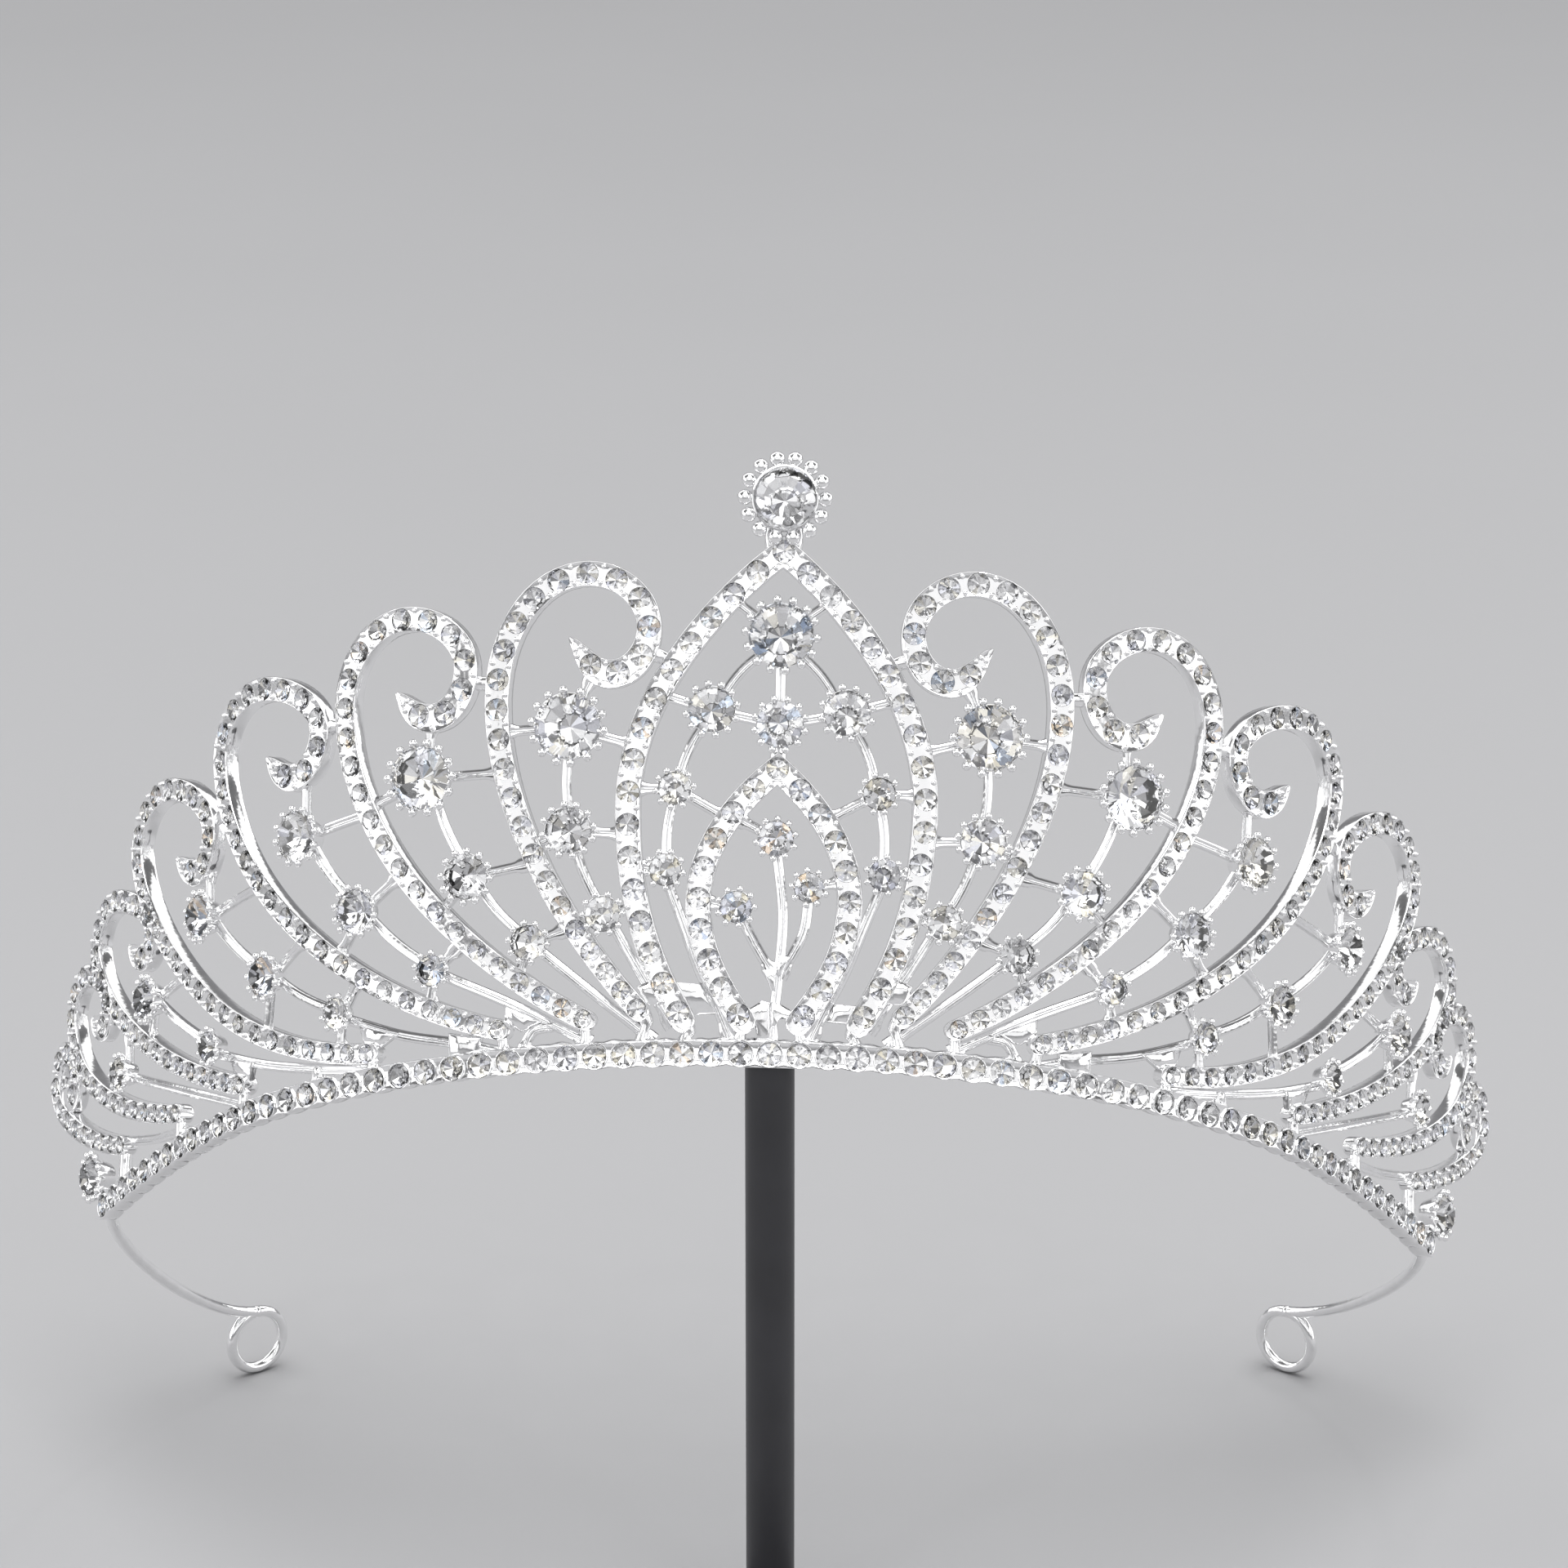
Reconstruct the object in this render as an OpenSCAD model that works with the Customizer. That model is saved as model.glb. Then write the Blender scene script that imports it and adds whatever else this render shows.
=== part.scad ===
// Bridal crown on a display post.
// A cast openwork panel, bent round the front of the head, carries two pointed almonds and seven scrolls
// a side on an arched band. Claw settings hang on thin bars in the gaps, and a bead-edged setting tops it.
// The band rests on a slim post, and the crown leans back onto two wire eyes behind its ends.
// The panel is drawn flat, as distance along the wall and height, and then wrapped onto the plan curve.

/* [Crown] */
// Distance along the wall from the centre to each end of the band
band_reach = 90; // [88:1:92]
// How far the band arches down from its centre to its ends
band_drop = 19; // [17:0.5:21]
// Height of the band
band_w = 2.6; // [2.4:0.1:2.8]
// Thickness of the band
band_t = 2.0; // [1.9:0.05:2.2]
// Width of the scroll and almond bars
bar_w = 2.5; // [2.3:0.1:2.7]
// Thickness of the scroll and almond bars
bar_t = 1.8; // [1.6:0.05:1.85]
// Width of the thin bars between settings
link_w = 1.05; // [0.9:0.05:1.15]

/* [Plan curve] */
// Radius of the flat front
front_r = 217; // [190:1:240]
// Distance along the wall where the front ends
front_reach = 20; // [18:1:22]
// Radius of the bend on each side
side_r = 50; // [46:1:54]
// Distance along the wall where the bend ends
side_reach = 62; // [60:1:64]
// Radius of the ends
end_r = 240; // [200:5:400]

/* [Pose] */
// Height of the band's centre above the surface
front_height = 62; // [60:0.5:64]
// How far the crown leans back, in degrees
lean = 20; // [18:0.5:22]
// How far its right side hangs lower, in degrees
roll = 1.6; // [0:0.1:2]

/* [Stones] */
// Diameter of the small stones in the band
band_stone_d = 2.3; // [2:0.1:2.4]
// Spacing of the small stones in the band
band_pitch = 2.85; // [2.7:0.05:3.1]
// Diameter of the small stones in the almonds
almond_stone_d = 2.2; // [1.8:0.1:2.3]
// Spacing of the small stones in the almonds
almond_pitch = 3.2; // [3:0.1:3.6]
// Diameter of the stone in the top setting
finial_d = 6.1; // [5.6:0.1:6.4]

/* [Stand] */
// Diameter of the post
post_d = 4.9; // [4:0.1:6]
// Diameter of the foot
foot_d = 32; // [28:1:40]
// Thickness of the foot
foot_t = 2.5; // [2:0.5:4]
// How far the post stands behind the foot's centre
post_back = 11; // [8:0.5:12]

/* [End wires] */
// Diameter of the wire
wire_d = 1.3; // [1.1:0.1:1.5]
// Radius of the eye, to the middle of its wire
eye_r = 3.4; // [3:0.1:4]
// Distance of each eye from the middle
eye_x = 59; // [57:0.5:61]
// Distance of the eyes behind the band's centre
eye_back = 62.5; // [60:0.5:65]

/* [Hidden] */
// How far the post's axis lies behind the band's centre
post_behind = 1.5;
crown_y = post_back - post_behind;
// Narrow gap left wherever a stone or the post meets the metal
seat_gap = 0.05;
// How far the almonds' bars stand in front of the scrolls' bars, and how much each scroll is thinner
// than the one before it, so that no two faces coincide where bars cross
almond_raise = 0.04;
scroll_step = 0.02;
// Distance of the first stone from an almond's foot
almond_first = 2;
// Top setting: height of its centre and number of its beads, with the reach of beads and gaps past the stone
finial_h = 54.6;
finial_beads = 14;
bead_reach = 1.75;
gap_reach = 1.1;
bead_rise = 0.1;
// Cut stones, as shares of the diameter: table radius, height over the girdle, depth under it, height of
// the girdle over the bars' front, and height of a small stone
table_share = 0.3;
crown_share = 0.14;
pavilion_share = 0.4;
girdle_lift = 0.12;
small_share = 0.24;
// Settings: reach of the claws and of the dips between them past the stone, their rise over its girdle,
// the room under the stone, the wall under the seat, and the back's radius as a share of the diameter
claw_reach = 0.5;
dip_reach = 0.45;
claw_rise = 0.35;
seat_room = 0.25;
collet_back = 0.45;
back_share = 0.32;
// Widths of a scroll's foot, of its hook and of its tip
foot_w = 2.1;
hook_w = 2.9;
tip_w = 0.5;
// Solder bridges: radius on the wall and half thickness
bridge_r = 0.8;
bridge_t = 0.7;
// Angle from the front plane to the plane of each eye
eye_yaw = 40;
// End wires: distance of the start from the band's end, pulls at the start and at the eye, and rings
wire_inset = 1.5;
wire_start_pull = [3, 9, -8];
wire_eye_pull = 8;
wire_eye_rise = 1.5;
wire_steps = 6;
// Steps in each quarter turn of a scroll, in each half of the band and in each half of an almond's side
arc_steps = 3;
band_steps = 14;
almond_steps = 6;

// Scrolls of the right side: foot, direction and length of its first pull, length of the second pull,
// outermost point, top, side of the curl, bottom of the hook and tip, each as [along, height]
SCROLLS = [
    [[12.2, 3.2], 44, 9.5, 12, [27.9, 34.5], [19, 46.8], [13, 41.4], [16.8, 36.9], [20.8, 40.4]],
    [[17.2, 2.4], 23, 12, 14, [44.8, 33.8], [37.3, 42.2], [31.2, 37], [35, 32.3], [38.6, 34.8]],
    [[25.5, 1.5], 7, 17, 11, [64.5, 29], [56, 35.6], [48.1, 31], [52, 26.5], [55.6, 28.6]],
    [[39.5, -1], -6, 20, 8, [83.3, 19.6], [75.5, 25.8], [66.4, 21], [69.4, 17], [73.2, 18.6]],
    [[57.5, -4.8], 2, 18, 6, [94.1, 9.2], [88, 14.2], [79.2, 11], [81.4, 8.1], [84.4, 9.4]],
    [[70.5, -8], -4, 17, 7, [101, 1.8], [96, 6.2], [90.2, 2.9], [91.8, 0.5], [94.4, 1.6]],
    [[84, -11.8], -3, 9, 4, [106, -6], [103, -2.4], [99.4, -5], [100.8, -7.4], [103, -6.6]]];

// Almonds, right half: foot, first pull, second pull, widest point, then the upper pulls and the apex
ALMONDS = [
    [[8, 2.2], [13, 9.5], [14.6, 17], [14.6, 24.5], [14.6, 36], [4.5, 46], [0, 49.4]],
    [[2, 2.2], [5, 6], [7.4, 10], [7.4, 15], [7.4, 20.5], [3.4, 25.2], [0, 28]]];

// Claw stones of the centre: along, height, diameter
CENTRE = [
    [0, 41.1, 6.3], [-6.6, 33.6, 4.5], [0.1, 32.3, 4.5], [6.6, 33.6, 4.5], [-10, 25.8, 3.2], [10, 25.8, 3.2],
    [-10.7, 17.8, 3.1], [10.7, 17.8, 3.1], [0, 21.1, 3.4], [3.4, 16.4, 2.9], [-3.7, 14.3, 3.1]];
// Bars of the centre: the stone that each starts from, then the stone or the point where it ends
CENTRE_LINKS = [
    [0, [-5.4, 45]], [0, [5.4, 45]], [0, 1], [0, 2], [0, 3], [1, [-12.2, 35.2]], [3, [12.2, 35.2]],
    [2, 1], [2, 3], [2, [0, 28.4]], [1, 4], [3, 5], [4, [-14.4, 25.7]], [5, [14.4, 25.7]],
    [4, [-4.6, 22.9]], [5, [4.6, 22.9]], [4, 6], [5, 7], [6, [-14, 18]], [7, [14, 18]],
    [8, [-4.2, 23.2]], [9, [7.2, 17.2]], [10, [-7.2, 14.8]], [10, [0.4, 8.2]]];
// Long bars of the centre, as points
CENTRE_STEMS = [
    [[-10.3, 16.6], [-6.8, 9.2], [-3.2, 1.6]], [[10.3, 16.6], [7, 9.2], [3.4, 1.6]],
    [[0.1, 20.2], [0.9, 14], [0.7, 8.5], [0, 1]], [[3.4, 15.6], [2.9, 11.8], [0.7, 7.6]]];
CENTRE_STRUTS = [[3, 2.8], [-3, 2.8]];

// Claw stones of the right side: along, height, diameter
SIDE = [
    [20.6, 31.6, 6.5], [20.3, 21.4, 4.5], [16.7, 13.3, 3.4],
    [35.3, 26.3, 6.3], [30.3, 16.6, 4.5], [23.9, 10.3, 3.4],
    [50.2, 20.5, 5], [42.4, 13, 4.3], [33.7, 7.3, 3],
    [66.9, 12.4, 4.5], [54.6, 6.3, 4], [44.4, 2.8, 3],
    [78.7, 3.7, 4.2], [64.2, -1, 3.2], [85, -4.2, 3.4], [91.5, -15.5, 4.4]];
SIDE_LINKS = [
    [0, [18.4, 37]], [0, [27.6, 31]], [0, [13.9, 29.9]], [0, 1],
    [1, [14.6, 21.2]], [1, [24.9, 19.6]], [1, 2], [2, [13.1, 14.1]], [2, [19.6, 10.9]],
    [3, [35, 32.2]], [3, [27.2, 27]], [3, [42, 23.4]], [3, 4],
    [4, [24, 18.1]], [4, [33.9, 12.6]], [4, 5], [5, [20, 11.8]], [5, [25.2, 6.2]],
    [6, [50.4, 27]], [6, [41.6, 22.9]], [6, 7],
    [7, [37.8, 16.8]], [7, [45.2, 8.2]], [7, 8], [8, [31, 10]], [8, [34.2, 3.2]],
    [9, [67.2, 17.6]], [9, [56.2, 15.8]], [9, 10],
    [10, [49.6, 10.4]], [10, [55.2, -0.4]], [10, 11], [11, [42.4, 6.6]], [11, [44.6, -1.6]],
    [12, [71, 6.6]], [12, [79.6, -1]], [12, 13], [14, [85.4, 0.4]], [15, [90, -18.6]]];
SIDE_STEMS = [
    [[15.9, 12.4], [12.4, 6.8], [9.6, 2.4]], [[23, 9.6], [17.4, 5.4], [11.4, 1]],
    [[32.7, 6.8], [25.6, 4.2], [17.6, 0.6]], [[43.6, 2.2], [37, 0.8], [30, 0.2]],
    [[63.2, -1.8], [55, -2.6], [47, -2.7], [40.4, -2.2]], [[84, -4.6], [72, -5.6], [60, -6.6]],
    [[85, -11.4], [77.6, -10.9], [70.4, -9.4]]];
// Solder bridges between neighbouring bars
SIDE_BRIDGES = [
    [[11.2, 38.6], [13.2, 39.2]], [[28.2, 35.8], [31, 35.8]], [[45, 31.8], [47.6, 31.6]],
    [[63.6, 23.4], [66, 22.4]], [[77, 11], [79.2, 10.8]], [[88, 2.4], [90.4, 2.6]], [[97, -5], [100, -5.4]]];
CENTRE_BRIDGES = [[[-1.3, 49.4], [-1.3, 51.7]], [[1.3, 49.4], [1.3, 51.7]]];
// Short struts from the band: along, and the height they reach
SIDE_STRUTS = [
    [8.4, 3], [12.6, 3], [17.4, 2.4], [24.8, 1.6], [30.4, 0.4], [38.6, -1], [47.4, -2.6], [57.4, -4.8],
    [70.2, -8], [84.2, -11.6]];

// Plan curve: heading of the wall and place on it, from three arcs
front_turn = front_reach / front_r * 180 / PI;
side_turn = front_turn + (side_reach - front_reach) / side_r * 180 / PI;
front_end = [front_r * sin(front_turn), front_r * (1 - cos(front_turn))];
side_end = front_end
    + side_r * [sin(side_turn) - sin(front_turn), cos(front_turn) - cos(side_turn)];
function heading(a) = a <= front_reach ? a / front_r * 180 / PI
    : a <= side_reach ? front_turn + (a - front_reach) / side_r * 180 / PI
    : side_turn + (a - side_reach) / end_r * 180 / PI;
function plan(a) = let (e = heading(a)) a <= front_reach ? front_r * [sin(e), 1 - cos(e)]
    : a <= side_reach ? front_end + side_r * [sin(e) - sin(front_turn), cos(front_turn) - cos(e)]
    : side_end + end_r * [sin(e) - sin(side_turn), cos(side_turn) - cos(e)];
function side_of(s) = s < 0 ? -1 : 1;
// Unit vectors along the wall and out of its front
function along(s) = [cos(heading(abs(s))), side_of(s) * sin(heading(abs(s))), 0];
function outward(s) = [side_of(s) * sin(heading(abs(s))), -cos(heading(abs(s))), 0];
// The crown's own frame to the part's frame: the right side hangs lower, then the whole leans back
function stand(p) =
    let (x = p.x * cos(roll) + p.z * sin(roll), z = p.z * cos(roll) - p.x * sin(roll))
    [x, crown_y + p.y * cos(lean) + z * sin(lean), front_height + z * cos(lean) - p.y * sin(lean)];
// A point at s along the wall, at height h and d in front of its middle
function wall(s, h, d) = let (q = plan(abs(s))) stand([side_of(s) * q.x, q.y, h] + d * outward(s));
// A point near [s, h] in the flat plane that touches the wall there
function flat(s, h, a, b, c) =
    let (q = plan(abs(s))) stand([side_of(s) * q.x, q.y, h + b] + a * along(s) + c * outward(s));

function drop(s) = band_drop * pow(s / band_reach, 2);
function mix(a, b, t) = a * (1 - t) + b * t;
function bezier(a, b, c, d, t) =
    a * pow(1 - t, 3) + b * 3 * t * pow(1 - t, 2) + c * 3 * t * t * (1 - t) + d * pow(t, 3);
function pulled(a, b, c, d, n) = [for (i = [0:n]) bezier(a, b, c, d, i / n)];
// Quarter of an ellipse about c from p to q, without its first point
function quarter(c, p, q, n) = [for (i = [1:n]) c + (p - c) * cos(90 * i / n) + (q - c) * sin(90 * i / n)];
function mirrored(path) = [for (p = path) [-p.x, p.y]];
function lengths(path) = [for (i = 0, c = 0; i < len(path);
    c = c + (i < len(path) - 1 ? norm(path[i + 1] - path[i]) : 0), i = i + 1) c];
function point_at(path, c, d) =
    let (i = max([for (k = [0:len(c) - 2]) if (c[k] <= d) k]), f = (d - c[i]) / (c[i + 1] - c[i]))
    mix(path[i], path[i + 1], f);
// Stone places at an even pitch along a path, from a first distance to a last one
function places(path, pitch, first, last) =
    let (c = lengths(path), n = floor((c[len(c) - 1] - first - last) / pitch + 0.5),
        step = (c[len(c) - 1] - first - last) / n)
    [for (i = [0:n]) point_at(path, c, first + i * step)];

function limb_steps(i) = i < 3 ? 7 : i < 5 ? 6 : 5;
function scroll_path(i) = let (r = SCROLLS[i]) concat(
    pulled(r[0], r[0] + r[2] * [cos(r[1]), sin(r[1])], r[4] - [0, r[3]], r[4], limb_steps(i)),
    quarter([r[5].x, r[4].y], r[4], r[5], arc_steps), quarter([r[5].x, r[6].y], r[5], r[6], arc_steps),
    quarter([r[7].x, r[6].y], r[6], r[7], arc_steps), quarter([r[7].x, r[8].y], r[7], r[8], arc_steps));
function scroll_widths(i) = let (n = limb_steps(i), q = arc_steps) concat(
    [for (k = [0:n]) mix(foot_w, bar_w, k / n)], [for (k = [1:2 * q]) bar_w],
    [for (k = [1:q]) mix(bar_w, hook_w, k / q)], [for (k = [1:q]) mix(hook_w, tip_w, pow(k / q, 1.5))]);
function almond_path(r) = let (n = almond_steps) concat(
    pulled(r[0], r[1], r[2], r[3], n), [for (k = [1:n]) bezier(r[3], r[4], r[5], r[6], k / n)]);
band_path = [for (i = [-band_steps:band_steps]) let (s = band_reach * i / band_steps) [s, -drop(s)]];

// Faces of n rings of m points, closed at both ends
function skin(n, m) = concat(
    [[for (j = [0:m - 1]) j]],
    [for (i = [0:n - 2], j = [0:m - 1], f = [0, 1]) let (k = (j + 1) % m)
        f == 0 ? [i * m + j, (i + 1) * m + j, (i + 1) * m + k] : [i * m + j, (i + 1) * m + k, i * m + k]],
    [[for (j = [m - 1:-1:0]) (n - 1) * m + j]]);

// A bar along a path on the wall, with a width at each point
module bar(path, widths, thick) {
    n = len(path);
    polyhedron(points = [for (i = [0:n - 1])
        let (t = path[min(i + 1, n - 1)] - path[max(i - 1, 0)], u = [-t.y, t.x] / norm(t) * widths[i] / 2,
            a = path[i] + u, b = path[i] - u)
        each [wall(a.x, a.y, thick / 2), wall(b.x, b.y, thick / 2),
            wall(b.x, b.y, -thick / 2), wall(a.x, a.y, -thick / 2)]], faces = skin(n, 4));
}

// A straight bar of three sides between two near points of the wall, with its flat side in front
module link_bar(a, b) {
    m = (a + b) / 2;
    q = (b - a) / 2;
    u = [-q.y, q.x] / norm(q);
    r = link_w / sqrt(3);
    polyhedron(points = [for (e = [-1, 1], j = [0:2]) let (p = e * q + u * r * cos(120 * j - 90))
        flat(m.x, m.y, p.x, p.y, r * sin(120 * j - 90))], faces = skin(2, 3));
}

// The same bar along a longer path, which follows the wall
module stem_bar(path) {
    n = len(path);
    r = link_w / sqrt(3);
    polyhedron(points = [for (i = [0:n - 1], j = [0:2])
        let (t = path[min(i + 1, n - 1)] - path[max(i - 1, 0)], p = path[i]
            + [-t.y, t.x] / norm(t) * r * cos(120 * j - 90))
        wall(p.x, p.y, r * sin(120 * j - 90))], faces = skin(n, 3));
}

// A drop of solder from one point of the wall to another
module bridge(a, b) {
    hull() for (p = [a, b]) {
        polyhedron(points = [for (k = [-1, 1]) flat(p.x, p.y, 0, 0, bridge_t * k), for (k = [0:3])
            flat(p.x, p.y, bridge_r * cos(90 * k + 45), bridge_r * sin(90 * k + 45), 0)],
            faces = [for (k = [0:3]) each [[0, 2 + k, 2 + (k + 1) % 4], [1, 2 + (k + 1) % 4, 2 + k]]]);
    }
}

function girdle(d) = bar_t / 2 + girdle_lift * d;
function seat_floor(d) = girdle(d) - pavilion_share * d - seat_room;

// Collet with a hollow seat, on a back of k / 2 corners. Its rim has k tips and k valleys, each with
// its reach past the stone and its height over the girdle
module collet(s, h, d, k, tip, tip_z, valley, valley_z) {
    g = girdle(d);
    f = seat_floor(d);
    b = k / 2;
    m = 2 * k;
    back_r = back_share * d;
    back_ring = [for (j = [0:b - 1]) flat(s, h, back_r * cos(360 * j / b), back_r * sin(360 * j / b),
        f - collet_back)];
    rim = [for (j = [0:m - 1]) let (r = d / 2 + (j % 2 == 0 ? tip : valley), e = 360 * j / m)
        flat(s, h, r * cos(e), r * sin(e), g + (j % 2 == 0 ? tip_z : valley_z))];
    polyhedron(points = concat(back_ring, rim, [flat(s, h, 0, 0, f)]), faces = concat(
        [[for (j = [0:b - 1]) j]],
        [for (j = [0:b - 1]) [j, b + (4 * j + 2) % m, (j + 1) % b]],
        [for (j = [0:b - 1], i = [-2:1]) [j, b + (4 * j + i + m) % m, b + (4 * j + i + 1 + m) % m]],
        [for (j = [0:m - 1]) [b + j, b + m, b + (j + 1) % m]]));
}

function claws(d) = d > 3.8 ? 8 : 6;
module claw_setting(p) {
    collet(p[0], p[1], p[2], claws(p[2]), claw_reach, claw_rise, dip_reach, -claw_rise);
}

// Cut stone: a table, crown facets, a girdle of m corners and a pavilion to a point
module gem(p, m) {
    s = p[0];
    h = p[1];
    d = p[2];
    g = girdle(d);
    half = m / 2;
    polyhedron(points = concat([flat(s, h, 0, 0, g - pavilion_share * d)],
        [for (j = [0:m - 1]) flat(s, h, d / 2 * cos(360 * j / m), d / 2 * sin(360 * j / m), g)],
        [for (j = [0:half - 1]) flat(s, h, table_share * d * cos(360 * j / half),
            table_share * d * sin(360 * j / half), g + crown_share * d)]),
        faces = concat([for (j = [0:m - 1]) [0, 1 + j, 1 + (j + 1) % m]],
            [for (j = [0:half - 1]) let (n = (j + 1) % half, a = 1 + 2 * j, b = a + 1,
                c = 1 + (2 * j + 2) % m, t = 1 + m + j, u = 1 + m + n) each [[a, t, b], [t, u, b], [b, u, c]]],
            [[for (j = [half - 1:-1:0]) 1 + m + j]]));
}

function girdle_corners(d) = d > 4.8 ? 16 : 12;

// Small stone on the face of a bar: twelve facets round a table of six sides
module small_gem(p, d, face) {
    polyhedron(points = [for (i = [0, 1], j = [0:5]) let (r = i == 0 ? d / 2 : table_share * d)
        flat(p.x, p.y, r * cos(60 * j + 30 * i), r * sin(60 * j + 30 * i),
            face + seat_gap + i * small_share * d)],
        faces = skin(2, 6));
}

// Place of stone i on one side, and the point in its collet's wall that faces q
function place(stones, i, side) = [side * stones[i][0], stones[i][1]];
function facing(stones, i, side, q) =
    let (c = place(stones, i, side)) c + (q - c) / norm(q - c) * back_share * stones[i][2];

module links(stones, table, side) {
    for (e = table) {
        from_one = place(stones, e[0], side);
        to_stone = is_num(e[1]);
        far = to_stone ? place(stones, e[1], side) : [side * e[1].x, e[1].y];
        link_bar(facing(stones, e[0], side, far), to_stone ? facing(stones, e[1], side, from_one) : far);
    }
}

module stems(table, side) {
    for (p = table) {
        stem_bar(side > 0 ? p : mirrored(p));
    }
}

module struts(table, side) {
    for (e = table) {
        link_bar([side * e[0], -drop(e[0])], [side * e[0], e[1]]);
    }
}

module scrolls(side) {
    for (i = [0:len(SCROLLS) - 1]) {
        p = scroll_path(i);
        bar(side > 0 ? p : mirrored(p), scroll_widths(i), bar_t - scroll_step * i);
    }
}

module almonds() {
    for (r = ALMONDS, side = [-1, 1]) {
        p = almond_path(r);
        bar(side > 0 ? p : mirrored(p), [for (q = p) bar_w], bar_t + (side > 0 ? 1.5 : 2) * almond_raise);
    }
}

// End wire: from behind the band's end down to an open eye that stands on the surface
module end_wire(side) {
    eye = [side * eye_x, crown_y + eye_back, eye_r + wire_d / 2];
    top = eye + [0, 0, eye_r];
    s = band_reach - wire_inset;
    start = wall(side * s, -drop(s), 0);
    pull = [side * wire_start_pull.x, wire_start_pull.y, wire_start_pull.z];
    back = wire_eye_pull * [side * cos(eye_yaw), -sin(eye_yaw), 0] + [0, 0, wire_eye_rise];
    n = wire_steps;
    path = pulled(start, start + pull, top + back, top, n);
    polyhedron(points = [for (i = [0:n])
        let (t = path[min(i + 1, n)] - path[max(i - 1, 0)], w = cross([0, 0, 1], t), u = w / norm(w),
            v = cross(t, u) / norm(t))
        for (j = [0:5]) path[i] + wire_d / 2 * (cos(60 * j) * u + sin(60 * j) * v)], faces = skin(n + 1, 6));
    translate(eye) rotate([90, 0, -side * eye_yaw]) rotate_extrude($fn = 12)
        translate([eye_r, 0]) circle(d = wire_d, $fn = 6);
}

// All the metal, soldered into one piece
module crown_frame() {
    color("silver") {
        bar(band_path, [for (p = band_path) band_w], band_t);
        almonds();
        links(CENTRE, CENTRE_LINKS, 1);
        stems(CENTRE_STEMS, 1);
        struts(CENTRE_STRUTS, 1);
        for (e = CENTRE_BRIDGES) bridge(e[0], e[1]);
        for (p = CENTRE) claw_setting(p);
        for (side = [-1, 1]) {
            scrolls(side);
            links(SIDE, SIDE_LINKS, side);
            stems(SIDE_STEMS, side);
            struts(SIDE_STRUTS, side);
            for (e = SIDE_BRIDGES) bridge([side * e[0].x, e[0].y], [side * e[1].x, e[1].y]);
            for (p = SIDE) claw_setting([side * p[0], p[1], p[2]]);
            end_wire(side);
        }
        collet(0, finial_h, finial_d, finial_beads, bead_reach, bead_rise, gap_reach, 0);
    }
}

module finial_stone() {
    color("white") gem([0, finial_h, finial_d], girdle_corners(finial_d));
}

module centre_stone(i) {
    color("white") gem(CENTRE[i], girdle_corners(CENTRE[i][2]));
}

module side_stone(i, side) {
    color("white") gem([side * SIDE[i][0], SIDE[i][1], SIDE[i][2]], girdle_corners(SIDE[i][2]));
}

// One stone at each place of the band
module band_stones() {
    edge = band_pitch / 2;
    color("white") for (q = places(band_path, band_pitch, edge, edge)) small_gem(q, band_stone_d, band_t / 2);
}

// The apex stone of each almond and the stones down both its sides
module almond_stones() {
    color("white") for (r = ALMONDS) {
        for (q = places(almond_path(r), almond_pitch, almond_first, 0)) {
            small_gem(q, almond_stone_d, bar_t / 2 + almond_raise);
            if (q.x > 0.5) small_gem([-q.x, q.y], almond_stone_d, bar_t / 2 + almond_raise);
        }
    }
}

// Plain black post, cut to the slope of the band that rests on it
module stand_post() {
    color("#15161a") difference() {
        translate([0, post_back, foot_t]) cylinder(d = post_d, h = front_height - foot_t, $fn = 48);
        translate([0, crown_y, front_height]) rotate([-lean, 0, 0]) rotate([0, roll, 0])
            translate([-post_d, -post_d, -band_w / 2 - seat_gap]) cube(3 * post_d);
    }
}

module stand_foot() {
    color("#15161a") cylinder(d = foot_d, h = foot_t, $fn = 96);
}

function two(i) = i < 9 ? str("0", i + 1) : str(i + 1);

crown_frame();
finial_stone();
for (i = [0:len(CENTRE) - 1]) {
    centre_stone(i);
}
for (i = [0:len(SIDE) - 1]) {
    side_stone(i, -1);
    side_stone(i, 1);
}
band_stones();
almond_stones();
stand_post();
stand_foot();
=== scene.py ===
"""Bridal crown on a display post: cast silver bars set with cut stones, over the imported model."""

import math

import bpy
import numpy as np
from bpy.props import FloatProperty, FloatVectorProperty, IntProperty, PointerProperty
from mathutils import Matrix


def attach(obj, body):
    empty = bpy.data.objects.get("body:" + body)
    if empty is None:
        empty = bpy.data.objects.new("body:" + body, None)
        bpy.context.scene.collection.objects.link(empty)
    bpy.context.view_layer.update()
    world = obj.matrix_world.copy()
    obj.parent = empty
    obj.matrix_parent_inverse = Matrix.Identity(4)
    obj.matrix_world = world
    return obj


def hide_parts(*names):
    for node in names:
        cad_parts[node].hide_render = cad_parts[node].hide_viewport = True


bl_info = {
    "name": "Bridal crown",
    "version": (1, 0, 0),
    "blender": (4, 5, 0),
    "location": "View3D > Sidebar > Crown",
    "description": "Builds a bridal crown of cast bars and cut stones on its display post",
    "category": "Add Mesh",
}

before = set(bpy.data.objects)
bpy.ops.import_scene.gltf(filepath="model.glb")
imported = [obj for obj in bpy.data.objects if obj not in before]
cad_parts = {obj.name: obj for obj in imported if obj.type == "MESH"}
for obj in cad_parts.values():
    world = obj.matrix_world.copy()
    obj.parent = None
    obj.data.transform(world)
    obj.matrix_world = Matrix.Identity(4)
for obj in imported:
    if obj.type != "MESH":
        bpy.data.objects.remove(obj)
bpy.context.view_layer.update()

MM = 0.001

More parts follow.
